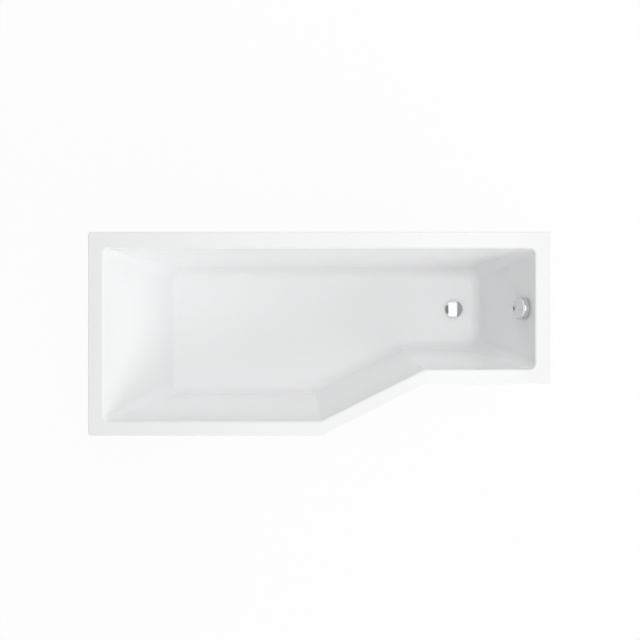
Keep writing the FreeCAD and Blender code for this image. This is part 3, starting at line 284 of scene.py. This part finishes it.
def new_mesh(name, bm, *finishes, crease=35.0):
    """Smooth-shaded mesh from a finished bmesh, sharp where its faces meet at more than the crease angle."""
    mesh = bpy.data.meshes.new(name)
    bm.to_mesh(mesh)
    bm.free()
    mesh.shade_smooth()
    mesh.set_sharp_from_angle(angle=math.radians(crease))
    for finish in finishes:
        mesh.materials.append(finish)
    return mesh


def new_piece(name, mesh, at=(0, 0, 0)):
    """Piece of the scene with a mesh, set at a place."""
    piece = bpy.data.objects.new(name, mesh)
    piece.location = at
    bpy.context.scene.collection.objects.link(piece)
    return piece


def fit(piece, slot, body, *nodes):
    """Sets a piece on its body in place of its CAD nodes."""
    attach(piece, body)
    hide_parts(*nodes)


acrylic = new_finish("white_acrylic", (0.933, 0.936, 0.940), 0.2)
acrylic_shader = acrylic.node_tree.nodes["Principled BSDF"]
acrylic_shader.inputs["IOR"].default_value = 1.49
polish(acrylic, grain(acrylic, 9.0), 0.19, 0.22)
tint(acrylic, grain(acrylic, 2.5, 2.0), (0.929, 0.932, 0.937), (0.937, 0.940, 0.943))
relief(acrylic, grain(acrylic, 60.0, 2.0), 0.000012)

shell = bmesh.new()
shares = [k / COVE_STEPS for k in range(COVE_STEPS + 1)]
loops = [well_loop([cove_point(wall, share) for wall in walls]) for share in shares]
shares = [k / LIP_STEPS for k in range(LIP_STEPS + 1)]
loops += [well_loop([lip_point(wall, share) for wall in walls]) for share in shares]
for share in shares:
    turn = share * math.pi / 2
    loops.append(rim_loop(SKIRT_ROUND * (1 - math.sin(turn)), RIM_TOP - SKIRT_ROUND * (1 - math.cos(turn))))
loops.append(rim_loop(0.0, RIM_TOP - SKIRT))
rows = skin_rows(shell, loops)
overflow_at = Vector((wall_line(foot_end, OVERFLOW_HEIGHT), WASTE.y, OVERFLOW_HEIGHT))
cut_overflow(shell, overflow_at, SHELL_CUT_REACH, SHELL_CUT_LIKENESS)
waste_hole = WASTE + Vector((0, 0, FLOOR_TOP))
fill_round_hole(shell, ring_edges(shell, rows[0]), waste_hole, Vector((0, 0, 1)), HOLE_R)
bmesh.ops.solidify(shell, geom=shell.faces[:], thickness=SHEET)
bmesh.ops.recalc_face_normals(shell, faces=shell.faces[:])
shell_piece = new_piece("acrylic_shell", new_mesh("acrylic_shell", shell, acrylic))
shell_piece.modifiers.new("flat panels", "WEIGHTED_NORMAL").keep_sharp = True
fit(shell_piece, "white_acrylic", "bath", "tub_shell")

# Glass-fibre backing
# Chopped glass strands in polyester resin, sprayed on the back of the sheet and rolled down by hand.
# It stiffens the sheet from under the rim to the floor, and its outer face keeps the roller's uneven coat.

LAMINATE = 0.004
SKIN = SHEET + LAMINATE
COAT_THICKNESS = 0.0025
COAT_STEP = 0.014
COAT_SAG = 0.0012
COAT_LUMP = 0.035
COAT_CUT_REACH = 0.045
COAT_CUT_LIKENESS = 0.9
BRIM_STEPS = 4


def back_row(share):
    """Distance and height on each wall's back, from share 0 above the floor's round to 1 under the rim."""
    row = []
    for wall in walls:
        _, low = cove_point(wall, 1.0, SKIN)
        height = low + share * (RIM_TOP - SKIN - low)
        row.append((wall_line(wall, height, SKIN), height))
    return row


def strongest(material, first, *others):
    """The highest of several grains at each place."""
    top = first
    for other in others:
        either = add_node(material, "ShaderNodeMath", operation="MAXIMUM")
        material.node_tree.links.new(top, either.inputs[0])
        material.node_tree.links.new(other, either.inputs[1])
        top = either.outputs["Value"]
    return top


laminate = new_finish("glass_fibre", (0.80, 0.79, 0.72), 0.5)
strand_turns = [(0.4, 0.7, 0.0), (1.1, -0.5, 1.0), (-0.3, 1.4, 2.1), (0.9, 0.2, 2.9)]
strands = strongest(laminate, *[grain(laminate, 420.0, 1.0, (12, 1, 1), turn) for turn in strand_turns])
tint(laminate, strands, (0.60, 0.58, 0.47), (0.86, 0.85, 0.79))
relief(laminate, strands, 0.0006)
polish(laminate, grain(laminate, 25.0), 0.35, 0.6)

corner_points = CORNER_STEPS + 1
corners = rim_loop(SKIN, RIM_TOP - SKIN)
back_runs = []
for i in range(len(walls)):
    run = corners[i * corner_points] - corners[i * corner_points - 1]
    back_runs.append(round(run.length / COAT_STEP))
shares = [k / COVE_STEPS for k in range(COVE_STEPS)]
loops = [well_loop([cove_point(wall, share, SKIN) for wall in walls], SKIN, back_runs) for share in shares]
back_steps = round(DEPTH / COAT_STEP)
loops += [well_loop(back_row(k / back_steps), SKIN, back_runs) for k in range(back_steps + 1)]
brim, brim_edge = loops[-1], rim_loop(SKIN, RIM_TOP - SKIN, back_runs)
for k in range(BRIM_STEPS):
    loops.append([a.lerp(b, (k + 1) / BRIM_STEPS) for a, b in zip(brim, brim_edge)])
backing = bmesh.new()
rows = skin_rows(backing, loops)
cut_overflow(backing, overflow_at - wall_out * SKIN, COAT_CUT_REACH, COAT_CUT_LIKENESS)
waste_hole = WASTE + Vector((0, 0, FLOOR_TOP - SKIN))
fill_round_hole(backing, ring_edges(backing, rows[0]), waste_hole, Vector((0, 0, 1)), HOLE_R)
backing.normal_update()
for vert in backing.verts:
    lump = 0.5 + 0.5 * noise.noise(vert.co / COAT_LUMP)
    vert.co += vert.normal * COAT_SAG * lump
bmesh.ops.reverse_faces(backing, faces=backing.faces[:])
bmesh.ops.solidify(backing, geom=backing.faces[:], thickness=COAT_THICKNESS)
bmesh.ops.recalc_face_normals(backing, faces=backing.faces[:])
backing_piece = new_piece("glass_fibre_coat", new_mesh("glass_fibre_coat", backing, laminate, crease=50.0))
fit(backing_piece, "glass_fibre", "bath", "glass_fibre_backing")

# Base board
# Raw chipboard, sawn to the floor's outline and bonded under the laminate while the resin is wet.
# It spreads the load of the feet and takes the screws of the rails.


def cells(material, scale, stretch=(1, 1, 1), turn=(0, 0, 0)):
    """Patches with one random shade each, such as wood chips or crystals of zinc. Gives their output."""
    patches = add_node(material, "ShaderNodeTexVoronoi", scale=scale)
    material.node_tree.links.new(laid_out(material, stretch, turn), patches.inputs["Vector"])
    return patches.outputs["Color"]


def coat(material, *nodes):
    """Gives CAD nodes a finish in place of their plain colour."""
    for name in nodes:
        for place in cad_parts[name].material_slots:
            place.link = "OBJECT"
            place.material = material


chipboard = new_finish("chipboard", (0.66, 0.53, 0.36), 0.8)
chip_turns = [(0, 0, 0.2), (0, 0, 1.3), (0, 0, 2.2)]
chips = strongest(chipboard, *[cells(chipboard, 300.0, (3, 1, 0.4), turn) for turn in chip_turns])
tint(chipboard, chips, (0.36, 0.25, 0.14), (0.72, 0.58, 0.40))
relief(chipboard, chips, 0.0004)
coat(chipboard, "base_board")

# Foot rails and their screws
# Two channels folded from strip with a coat of dipped zinc, open side down, across the board.
# Four plated cross-head screws hold each one to the board through its web.

BOARD_INSET = 0.045
WEB_UNDER = 0.151
SCREW_EDGE = 0.030
SCREWS_TO_A_RAIL = 4
RAIL_FROM_HEAD = 0.195
RAIL_FROM_WASTE = 0.148
RAIL_SCREW = {"head_r": 0.0045, "head": 0.0026, "shank_r": 0.0022, "shank": 0.016}
SCREW_STEPS = 32
HEAD_STEPS = 6
RECESS_ARM = 0.72
RECESS_HALF = 0.17
RECESS_TAPER = 0.75
RECESS_DEPTH = 0.6

Rail = namedtuple("Rail", "x front")


def board_edge(wall):
    """Plan distance of the board's edge along a wall."""
    return wall_line(wall, FLOOR_TOP - SKIN, SKIN) - BOARD_INSET


def turned(bm, profile, place, steps):
    """Skin turned about the place's Z from (radius, height) points, closed at radius 0. Gives its rows."""
    rows = []
    for radius, height in profile:
        row = []
        for k in range(steps if radius else 1):
            turn = 2 * math.pi * k / steps
            at = Vector((radius * math.cos(turn), radius * math.sin(turn), height))
            row.append(bm.verts.new(place @ at))
        rows.append(row)
    for lower, upper in zip(rows, rows[1:]):
        for k in range(steps):
            j = (k + 1) % steps
            corners = [lower[k % len(lower)], lower[j % len(lower)]]
            corners += [upper[j % len(upper)], upper[k % len(upper)]]
            bm.faces.new(list(dict.fromkeys(corners)))
    return rows


def cross_screw(bm, place, head_r, head, shank_r, shank):
    """Pan-head screw with a cross recess: its head stands up from the place along Z, its shank goes down."""
    round_r = head / 2
    face_r = head_r - round_r
    profile = [(0, -shank), (shank_r, 2 * shank_r - shank), (shank_r, 0), (head_r, 0)]
    for k in range(HEAD_STEPS + 1):
        turn = k / HEAD_STEPS * math.pi / 2
        profile.append((face_r + round_r * math.cos(turn), round_r + round_r * math.sin(turn)))
    rows = turned(bm, profile, place, SCREW_STEPS)
    arm, half = RECESS_ARM * face_r, RECESS_HALF * face_r
    mouth = []
    for quarter in range(4):
        spin = Matrix.Rotation(quarter * math.pi / 2, 3, "Z")
        mouth += [spin @ Vector(at) for at in ((arm, -half, 0), (arm, half, 0), (half, half, 0))]
    upper = [bm.verts.new(place @ (at + Vector((0, 0, head)))) for at in mouth]
    sunk = Vector((0, 0, head * (1 - RECESS_DEPTH)))
    lower = [bm.verts.new(place @ (at * RECESS_TAPER + sunk)) for at in mouth]
    axis = place.to_3x3() @ Vector((0, 0, 1))
    edges = ring_edges(bm, rows[-1]) + ring_edges(bm, upper)
    bmesh.ops.triangle_fill(bm, use_beauty=True, edges=edges, normal=axis)
    for k in range(len(mouth)):
        j = (k + 1) % len(mouth)
        bm.faces.new((upper[k], upper[j], lower[j], lower[k]))
    bm.faces.new(lower)


zinc = new_finish("zinc_steel", (0.70, 0.71, 0.72), 0.38, 1.0)
tint(zinc, cells(zinc, 85.0), (0.64, 0.66, 0.68), (0.73, 0.74, 0.76))
polish(zinc, grain(zinc, 40.0), 0.28, 0.46)
relief(zinc, grain(zinc, 250.0, 2.0), 0.00004)
coat(zinc, "rail_wide", "rail_narrow")
plated = new_finish("zinc_plate", (0.71, 0.72, 0.73), 0.3, 1.0)
tint(plated, grain(plated, 30.0), (0.67, 0.68, 0.69), (0.74, 0.75, 0.76))
polish(plated, grain(plated, 120.0), 0.22, 0.38)

rails = {
    "wide": Rail(RAIL_FROM_HEAD - board_edge(backrest), wide_front),
    "narrow": Rail(WASTE.x - RAIL_FROM_WASTE, narrow_front),
}
screws = bmesh.new()
for rail in rails.values():
    low, high = SCREW_EDGE - board_edge(rail.front), board_edge(back) - SCREW_EDGE
    for k in range(SCREWS_TO_A_RAIL):
        y = low + (high - low) * k / (SCREWS_TO_A_RAIL - 1)
        place = Matrix.Translation((rail.x, y, WEB_UNDER)) @ Matrix.Rotation(math.pi, 4, "X")
        cross_screw(screws, place, **RAIL_SCREW)
bmesh.ops.recalc_face_normals(screws, faces=screws.faces[:])
screws_piece = new_piece("rail_cross_screws", new_mesh("rail_cross_screws", screws, plated))
fit(screws_piece, "zinc_steel", "bath", "rail_screws")

# Screw feet
# Each foot is a rolled M10 rod pressed into a black pad, with a nut and a washer on each side of the web.
# Turning the two nuts raises or lowers that corner. The moulded pad is ribbed, to cool without sink marks.

ROD_R = 0.005
ROD_LOW = 0.008
ROD_TOP = 0.198
ROD_HIGHEST = 0.206
ROD_END = 0.001
ROD_STEPS = 20
THREAD_PITCH = 0.0015
THREAD_DEPTH = 0.0009
ROWS_TO_A_TURN = 6
FOOT_GAP = 0.020
PAD_STEPS = 96
PAD_RIBS = 8
PAD_HOLLOW = 0.003
RIB_SHARPNESS = 6
CONE_STEPS = 8

# The pad's outline as (radius, height): the hollowed base, the ribbed cone and the neck round the rod.
PAD_BASE = [(0, 0.0015), (0.019, 0.0015), (0.0205, 0.0), (0.0262, 0.0), (0.027, 0.0008), (0.027, 0.0042)]
PAD_CONE = [(0.0262, 0.005), (0.011, 0.020)]
PAD_NECK = [
    (0.011, 0.0254), (0.0104, 0.026), (0.0056, 0.026),
    (ROD_R, 0.0254), (ROD_R, ROD_LOW), (0, ROD_LOW),
]

black_plastic = new_finish("black_plastic", (0.035, 0.035, 0.038), 0.5)
polish(black_plastic, grain(black_plastic, 60.0), 0.4, 0.62)
relief(black_plastic, grain(black_plastic, 900.0, 2.0), 0.00008)

cone_low, cone_high = [Vector(point) for point in PAD_CONE]
cone = [tuple(cone_low.lerp(cone_high, k / CONE_STEPS)) for k in range(CONE_STEPS + 1)]
pad = bmesh.new()
rows = turned(pad, PAD_BASE + cone + PAD_NECK, Matrix.Identity(4), PAD_STEPS)
cone_run = cone_high - cone_low
for i, row in enumerate(rows[len(PAD_BASE):len(PAD_BASE) + len(cone)]):
    deepest = PAD_HOLLOW * math.sin(math.pi * i / CONE_STEPS)
    for vert in row:
        rib = (0.5 + 0.5 * math.cos(PAD_RIBS * math.atan2(vert.co.y, vert.co.x))) ** RIB_SHARPNESS
        outward = Vector((vert.co.x, vert.co.y, 0)).normalized() * cone_run.y - Vector((0, 0, cone_run.x))
        vert.co -= outward.normalized() * deepest * (1 - rib)
bmesh.ops.recalc_face_normals(pad, faces=pad.faces[:])
pad_mesh = new_mesh("foot_pad", pad, black_plastic)

rod_rows = round((ROD_TOP - ROD_LOW) / THREAD_PITCH * ROWS_TO_A_TURN)
heights = [ROD_LOW + (ROD_TOP - ROD_LOW) * i / rod_rows for i in range(rod_rows + 1)]
rod = bmesh.new()
profile = [(0, ROD_LOW)] + [(ROD_R, height) for height in heights] + [(0, ROD_TOP)]
rows = turned(rod, profile, Matrix.Identity(4), ROD_STEPS)
for row, height in zip(rows[1:-1], heights):
    widest = ROD_R - max(0.0, ROD_END - (ROD_TOP - height))
    for k, vert in enumerate(row):
        crest = abs(2 * ((height / THREAD_PITCH - k / ROD_STEPS) % 1) - 1)
        radius = min(ROD_R - THREAD_DEPTH * (1 - crest), widest)
        vert.co.x *= radius / ROD_R
        vert.co.y *= radius / ROD_R
bmesh.ops.recalc_face_normals(rod, faces=rod.faces[:])
rod_mesh = new_mesh("foot_rod", rod, plated, crease=60.0)

for rail_name, rail in rails.items():
    front_y = -wall_line(rail.front, ROD_HIGHEST, SKIN) - FOOT_GAP
    back_y = wall_line(back, ROD_HIGHEST, SKIN) + FOOT_GAP
    for end, y in (("front", front_y), ("back", back_y)):
        foot = rail_name + "_" + end
        pad_piece = new_piece("moulded_pad_" + foot, pad_mesh, (rail.x, y, 0))
        fit(pad_piece, "black_plastic", "foot_" + foot, "foot_pad_" + foot)
        rod_piece = new_piece("threaded_rod_" + foot, rod_mesh, (rail.x, y, 0))
        fit(rod_piece, "zinc_steel", "foot_" + foot, "foot_rod_" + foot)
        coat(plated, "foot_nuts_" + foot)
coat(plated, "foot_washers")

# Waste fitting
# Chrome-plated brass flange whose neck screws through the floor into a moulded white body, with a rubber seal
# above and below the sheet. The body holds the lift lever and takes the hose, the cable and the trap.

chrome = new_finish("chrome", (0.71, 0.72, 0.73), 0.06, 1.0)
polish(chrome, grain(chrome, 70.0), 0.03, 0.08)
rubber = new_finish("rubber", (0.03, 0.03, 0.032), 0.7)
polish(rubber, grain(rubber, 150.0), 0.6, 0.85)
relief(rubber, grain(rubber, 1200.0, 2.0), 0.0001)
white_plastic = new_finish("white_plastic", (0.80, 0.80, 0.78), 0.45)
tint(white_plastic, grain(white_plastic, 14.0), (0.77, 0.77, 0.745), (0.82, 0.82, 0.80))
polish(white_plastic, grain(white_plastic, 50.0), 0.35, 0.52)
relief(white_plastic, grain(white_plastic, 700.0, 2.0), 0.00008)
coat(chrome, "waste_flange")
coat(rubber, "waste_flange_seal", "waste_body_seal")
coat(white_plastic, "waste_body")

# Pop-up plug and its lever
# Domed chrome cap on a turned brass stem, sealed by a rubber ring. A moulded lever lifts the stem
# when the cable's nipple pulls its fork.

brass = new_finish("brass", (0.78, 0.62, 0.30), 0.3, 1.0)
tint(brass, grain(brass, 35.0), (0.68, 0.52, 0.24), (0.80, 0.64, 0.33))
polish(brass, grain(brass, 500.0, 2.0, (1, 1, 0.1)), 0.2, 0.38)
coat(chrome, "plug_cap")
coat(rubber, "plug_seal")
coat(brass, "plug_stem")
coat(white_plastic, "lift_lever")
coat(plated, "lever_pin", "waste_cable_end")

# Trap
# White moulded bend that keeps a water seal under the waste, joined by two grip nuts on flat seals.
# The elbow turns its outlet to the wall side.

coat(white_plastic, "trap_inlet_nut", "trap_bend", "trap_outlet_nut", "outlet_elbow")
coat(rubber, "trap_inlet_seal", "trap_outlet_seal")

# Overflow
# Moulded cup behind the foot-end wall, drawn up on its two seals by a clamp plate and two cross-head screws.
# The chrome knob covers the plate. Its brass spindle turns a crank in the cup, which pulls the cable's end.

CLAMP_FRONT = 0.0045
SCREW_ASIDE = 0.0215
CLAMP_SCREW = {"head_r": 0.0042, "head": 0.0026, "shank_r": 0.0024, "shank": 0.0385}

coat(white_plastic, "overflow_body", "overflow_clamp_plate")
coat(rubber, "overflow_rear_seal", "overflow_front_seal")
coat(chrome, "overflow_knob")
coat(brass, "knob_spindle")
coat(plated, "overflow_cable_end")
clamp_screws = bmesh.new()
across_wall = wall_up.cross(wall_out)
for side in (-1, 1):
    place = Matrix((across_wall, wall_up, wall_out)).transposed().to_4x4()
    place.translation = overflow_at + wall_out * CLAMP_FRONT + across_wall * side * SCREW_ASIDE
    cross_screw(clamp_screws, place, **CLAMP_SCREW)
bmesh.ops.recalc_face_normals(clamp_screws, faces=clamp_screws.faces[:])
clamp_piece = new_piece("overflow_cross_screws", new_mesh("overflow_cross_screws", clamp_screws, plated))
fit(clamp_piece, "zinc_steel", "bath", "overflow_screws")

# Overflow hose
# Grey ribbed hose, blow-moulded, that hangs from the overflow cup to the inlet of the waste body.
# A grip nut clamps the plain cuff at each end to its spigot.

HOSE_ROUTE = [
    (0.78345, 0.095, 0.46361), (0.75318, 0.095, 0.37885),
    (0.735, 0.095, 0.129), (0.620, 0.095, 0.129),
]
HOSE_FINENESS = 240
HOSE_CUFF = 0.032
HOSE_CUFF_R = 0.0166
HOSE_R = 0.016
HOSE_RIB = 0.0022
HOSE_PITCH = 0.006
HOSE_STEPS = 48


def spline_points(route, resolution):
    """Points along the smooth line that a route's points pull into shape."""
    curve = bpy.data.curves.new("route", "CURVE")
    curve.dimensions = "3D"
    spline = curve.splines.new("NURBS")
    spline.points.add(len(route) - 1)
    for point, at in zip(spline.points, route):
        point.co = (*at, 1)
    spline.order_u = 3
    spline.use_endpoint_u = True
    spline.resolution_u = resolution
    holder = bpy.data.objects.new("route", curve)
    line = bpy.data.meshes.new_from_object(holder)
    points = [vert.co.copy() for vert in line.vertices]
    bpy.data.meshes.remove(line)
    bpy.data.objects.remove(holder)
    bpy.data.curves.remove(curve)
    return points


def distances_along(points):
    """Distance of each point from the first, along the line through them."""
    run = [0.0]
    for a, b in zip(points, points[1:]):
        run.append(run[-1] + (b - a).length)
    return run


def tube(bm, points, radii, steps):
    """Closed tube through points, with a radius at each. Gives its rows of faces."""
    aside = (points[1] - points[0]).orthogonal().normalized()
    rows = []
    for i, (point, radius) in enumerate(zip(points, radii)):
        ahead = (points[min(i + 1, len(points) - 1)] - points[max(i - 1, 0)]).normalized()
        aside = (aside - ahead * aside.dot(ahead)).normalized()
        other = ahead.cross(aside)
        turns = [2 * math.pi * k / steps for k in range(steps)]
        ring = [point + radius * (aside * math.cos(t) + other * math.sin(t)) for t in turns]
        rows.append([bm.verts.new(at) for at in ring])
    bands = []
    for near, far in zip(rows, rows[1:]):
        bands.append([])
        for k in range(steps):
            j = (k + 1) % steps
            bands[-1].append(bm.faces.new((near[k], near[j], far[j], far[k])))
    bm.faces.new(rows[0])
    bm.faces.new(rows[-1])
    bmesh.ops.recalc_face_normals(bm, faces=bm.faces[:])
    return bands


grey_plastic = new_finish("grey_plastic", (0.42, 0.43, 0.44), 0.5)
tint(grey_plastic, grain(grey_plastic, 20.0), (0.38, 0.39, 0.40), (0.45, 0.46, 0.47))
polish(grey_plastic, grain(grey_plastic, 80.0), 0.4, 0.6)

line = spline_points(HOSE_ROUTE, HOSE_FINENESS)
run = distances_along(line)
ribbed = run[-1] - 2 * HOSE_CUFF
pitch = ribbed / round(ribbed / HOSE_PITCH)
radii = []
for distance in run:
    into = min(max(distance - HOSE_CUFF, 0.0), ribbed)
    swell = math.sqrt(0.5 - 0.5 * math.cos(2 * math.pi * into / pitch))
    radii.append(HOSE_CUFF_R if into in (0.0, ribbed) else HOSE_R - HOSE_RIB * (1 - swell))
hose = bmesh.new()
tube(hose, line, radii, HOSE_STEPS)
hose_piece = new_piece("ribbed_hose", new_mesh("ribbed_hose", hose, grey_plastic, crease=60.0))
fit(hose_piece, "grey_plastic", "bath", "overflow_hose")
coat(white_plastic, "hose_nut_upper", "hose_nut_lower")

# Lift cable
# Steel wire in a grey sheath, led round the hose from the cup's port to the waste body's port.
# A zinc ferrule is crimped on each end of the sheath, where it stops against the port.

CABLE_ROUTE = [
    (0.8147, 0.0510, 0.5183), (0.8147, 0.0010, 0.5183), (0.7970, -0.0250, 0.4610),
    (0.7780, -0.0380, 0.3998), (0.7600, -0.0430, 0.3329), (0.7420, -0.0410, 0.2660),
    (0.7170, -0.0320, 0.2067), (0.6750, -0.0120, 0.1609), (0.6111, 0.0199, 0.1360),
    (0.5789, 0.0582, 0.1360),
]
CABLE_FINENESS = 80
CABLE_R = 0.0025
CABLE_STEPS = 20
FERRULE = 0.016
FERRULE_R = 0.0036
CRIMP = 0.0005
CRIMP_PITCH = 0.004

line = spline_points(CABLE_ROUTE, CABLE_FINENESS)
run = distances_along(line)
from_end = [min(distance, run[-1] - distance) for distance in run]
radii = []
for distance in from_end:
    crimped = FERRULE_R - CRIMP * (0.5 - 0.5 * math.cos(2 * math.pi * distance / CRIMP_PITCH))
    radii.append(crimped if distance < FERRULE else CABLE_R)
cable = bmesh.new()
for distance, band in zip(from_end[1:], tube(cable, line, radii, CABLE_STEPS)):
    for face in band:
        face.material_index = 1 if distance < FERRULE else 0
cable_piece = new_piece("sheathed_cable", new_mesh("sheathed_cable", cable, grey_plastic, plated))
fit(cable_piece, "grey_plastic", "bath", "lift_cable")

# Camera and studio
# The camera looks straight down from a high stand on the bath, which stands on a white sweep in a white room.
# Six broad soft lamps stand round it, the strongest past the front corner of its waste end. Polished metal
# and gloss show the room and four cards hung over the waste, but not the lamps.

CAMERA_AT = (0.0025, 0.051, 4.38)
CAMERA_LENS = 57.82
SENSOR_WIDTH = 36.0
SWEEP = 14.0
SHADOW_SHARE = 0.05
ROOM_LIGHT = 0.2
ROOM_SEEN = 0.985
CARD_HEIGHT = 1.4

camera = bpy.data.objects.new("camera", bpy.data.cameras.new("camera"))
camera.location = CAMERA_AT
camera.data.lens = CAMERA_LENS
camera.data.sensor_width = SENSOR_WIDTH
bpy.context.scene.collection.objects.link(camera)
bpy.context.scene.camera = camera
bpy.context.scene.view_settings.view_transform = "Standard"


def seen_directly(tree):
    """1 on rays from the camera, or from a mirror or glass, and 0 on rays that only carry light."""
    path = tree.nodes.new("ShaderNodeLightPath")
    seen = path.outputs["Is Camera Ray"]
    for name in ("Is Glossy Ray", "Is Transmission Ray"):
        either = tree.nodes.new("ShaderNodeMath")
        either.operation = "MAXIMUM"
        tree.links.new(seen, either.inputs[0])
        tree.links.new(path.outputs[name], either.inputs[1])
        seen = either.outputs["Value"]
    return seen


room = bpy.data.worlds.new("room")
room.use_nodes = True
bpy.context.scene.world = room
tree = room.node_tree
brightness = tree.nodes.new("ShaderNodeMapRange")
brightness.inputs["To Min"].default_value = ROOM_LIGHT
brightness.inputs["To Max"].default_value = ROOM_SEEN
tree.links.new(seen_directly(tree), brightness.inputs["Value"])
tree.nodes["Background"].inputs["Color"].default_value = (1, 1, 1, 1)
tree.links.new(brightness.outputs["Result"], tree.nodes["Background"].inputs["Strength"])

sweep_finish = new_finish("white_sweep", (0.86, 0.86, 0.86), 0.9)
tree = sweep_finish.node_tree
glow = tree.nodes.new("ShaderNodeEmission")
glow.inputs["Strength"].default_value = 1.0
blend = tree.nodes.new("ShaderNodeMixShader")
shade = tree.nodes.new("ShaderNodeMath")
shade.operation = "MULTIPLY"
shade.inputs[1].default_value = 1 - SHADOW_SHARE
tree.links.new(seen_directly(tree), shade.inputs[0])
tree.links.new(shade.outputs["Value"], blend.inputs["Fac"])
tree.links.new(tree.nodes["Principled BSDF"].outputs["BSDF"], blend.inputs[1])
tree.links.new(glow.outputs["Emission"], blend.inputs[2])
tree.links.new(blend.outputs["Shader"], tree.nodes["Material Output"].inputs["Surface"])
sweep = bmesh.new()
bmesh.ops.create_grid(sweep, x_segments=2, y_segments=2, size=SWEEP / 2)
floor = new_piece("floor_sweep", new_mesh("floor_sweep", sweep, sweep_finish))


def soft_lamp(name, at, size, watts):
    """Square soft lamp that faces the middle of the bath."""
    lamp = bpy.data.lights.new(name, "AREA")
    lamp.shape = "SQUARE"
    lamp.size = size
    lamp.energy = watts
    holder = bpy.data.objects.new(name, lamp)
    holder.location = at
    aim = Vector((0, 0, FLOOR_TOP)) - Vector(at)
    holder.rotation_euler = aim.to_track_quat("-Z", "Y").to_euler()
    holder.visible_glossy = False
    bpy.context.scene.collection.objects.link(holder)


soft_lamp("overhead_lamp", (0.6, 0.0, 5.0), 3.0, 57.0)
soft_lamp("wall_corner_lamp", (2.5, 2.5, 4.5), 3.0, 50.0)
soft_lamp("front_corner_lamp", (4.5, -4.5, 4.5), 4.0, 175.0)
soft_lamp("wall_side_lamp", (0.0, 3.4, 2.6), 2.0, 29.0)
soft_lamp("front_lamp", (0.0, -2.6, 4.2), 3.0, 26.0)
soft_lamp("low_front_lamp", (0.0, -6.0, 2.6), 3.5, 55.0)


def reflected_card(name, near, far, length, brightness):
    """Level card hung over the waste from near to far along X, that only gloss and polished metal show."""
    finish = new_finish(name, (0, 0, 0), 0.9)
    shader = finish.node_tree.nodes["Principled BSDF"]
    shader.inputs["Emission Color"].default_value = (1, 1, 1, 1)
    shader.inputs["Emission Strength"].default_value = brightness
    card = bmesh.new()
    spread = Matrix.Diagonal(((far - near) / 2, length / 2, 1, 1))
    bmesh.ops.create_grid(card, x_segments=1, y_segments=1, size=1.0, matrix=spread)
    piece = new_piece(name, new_mesh(name, card, finish), ((near + far) / 2, WASTE.y, CARD_HEIGHT))
    piece.visible_camera = False
    piece.visible_diffuse = False
    piece.visible_shadow = False


reflected_card("dark_card", 0.26, 0.44, 0.42, 0.3)
reflected_card("bright_card", 0.44, 0.875, 0.68, 1.38)
reflected_card("grey_card", 0.875, 1.365, 1.0, 0.45)
reflected_card("end_card", 1.365, 2.3, 1.4, 1.38)
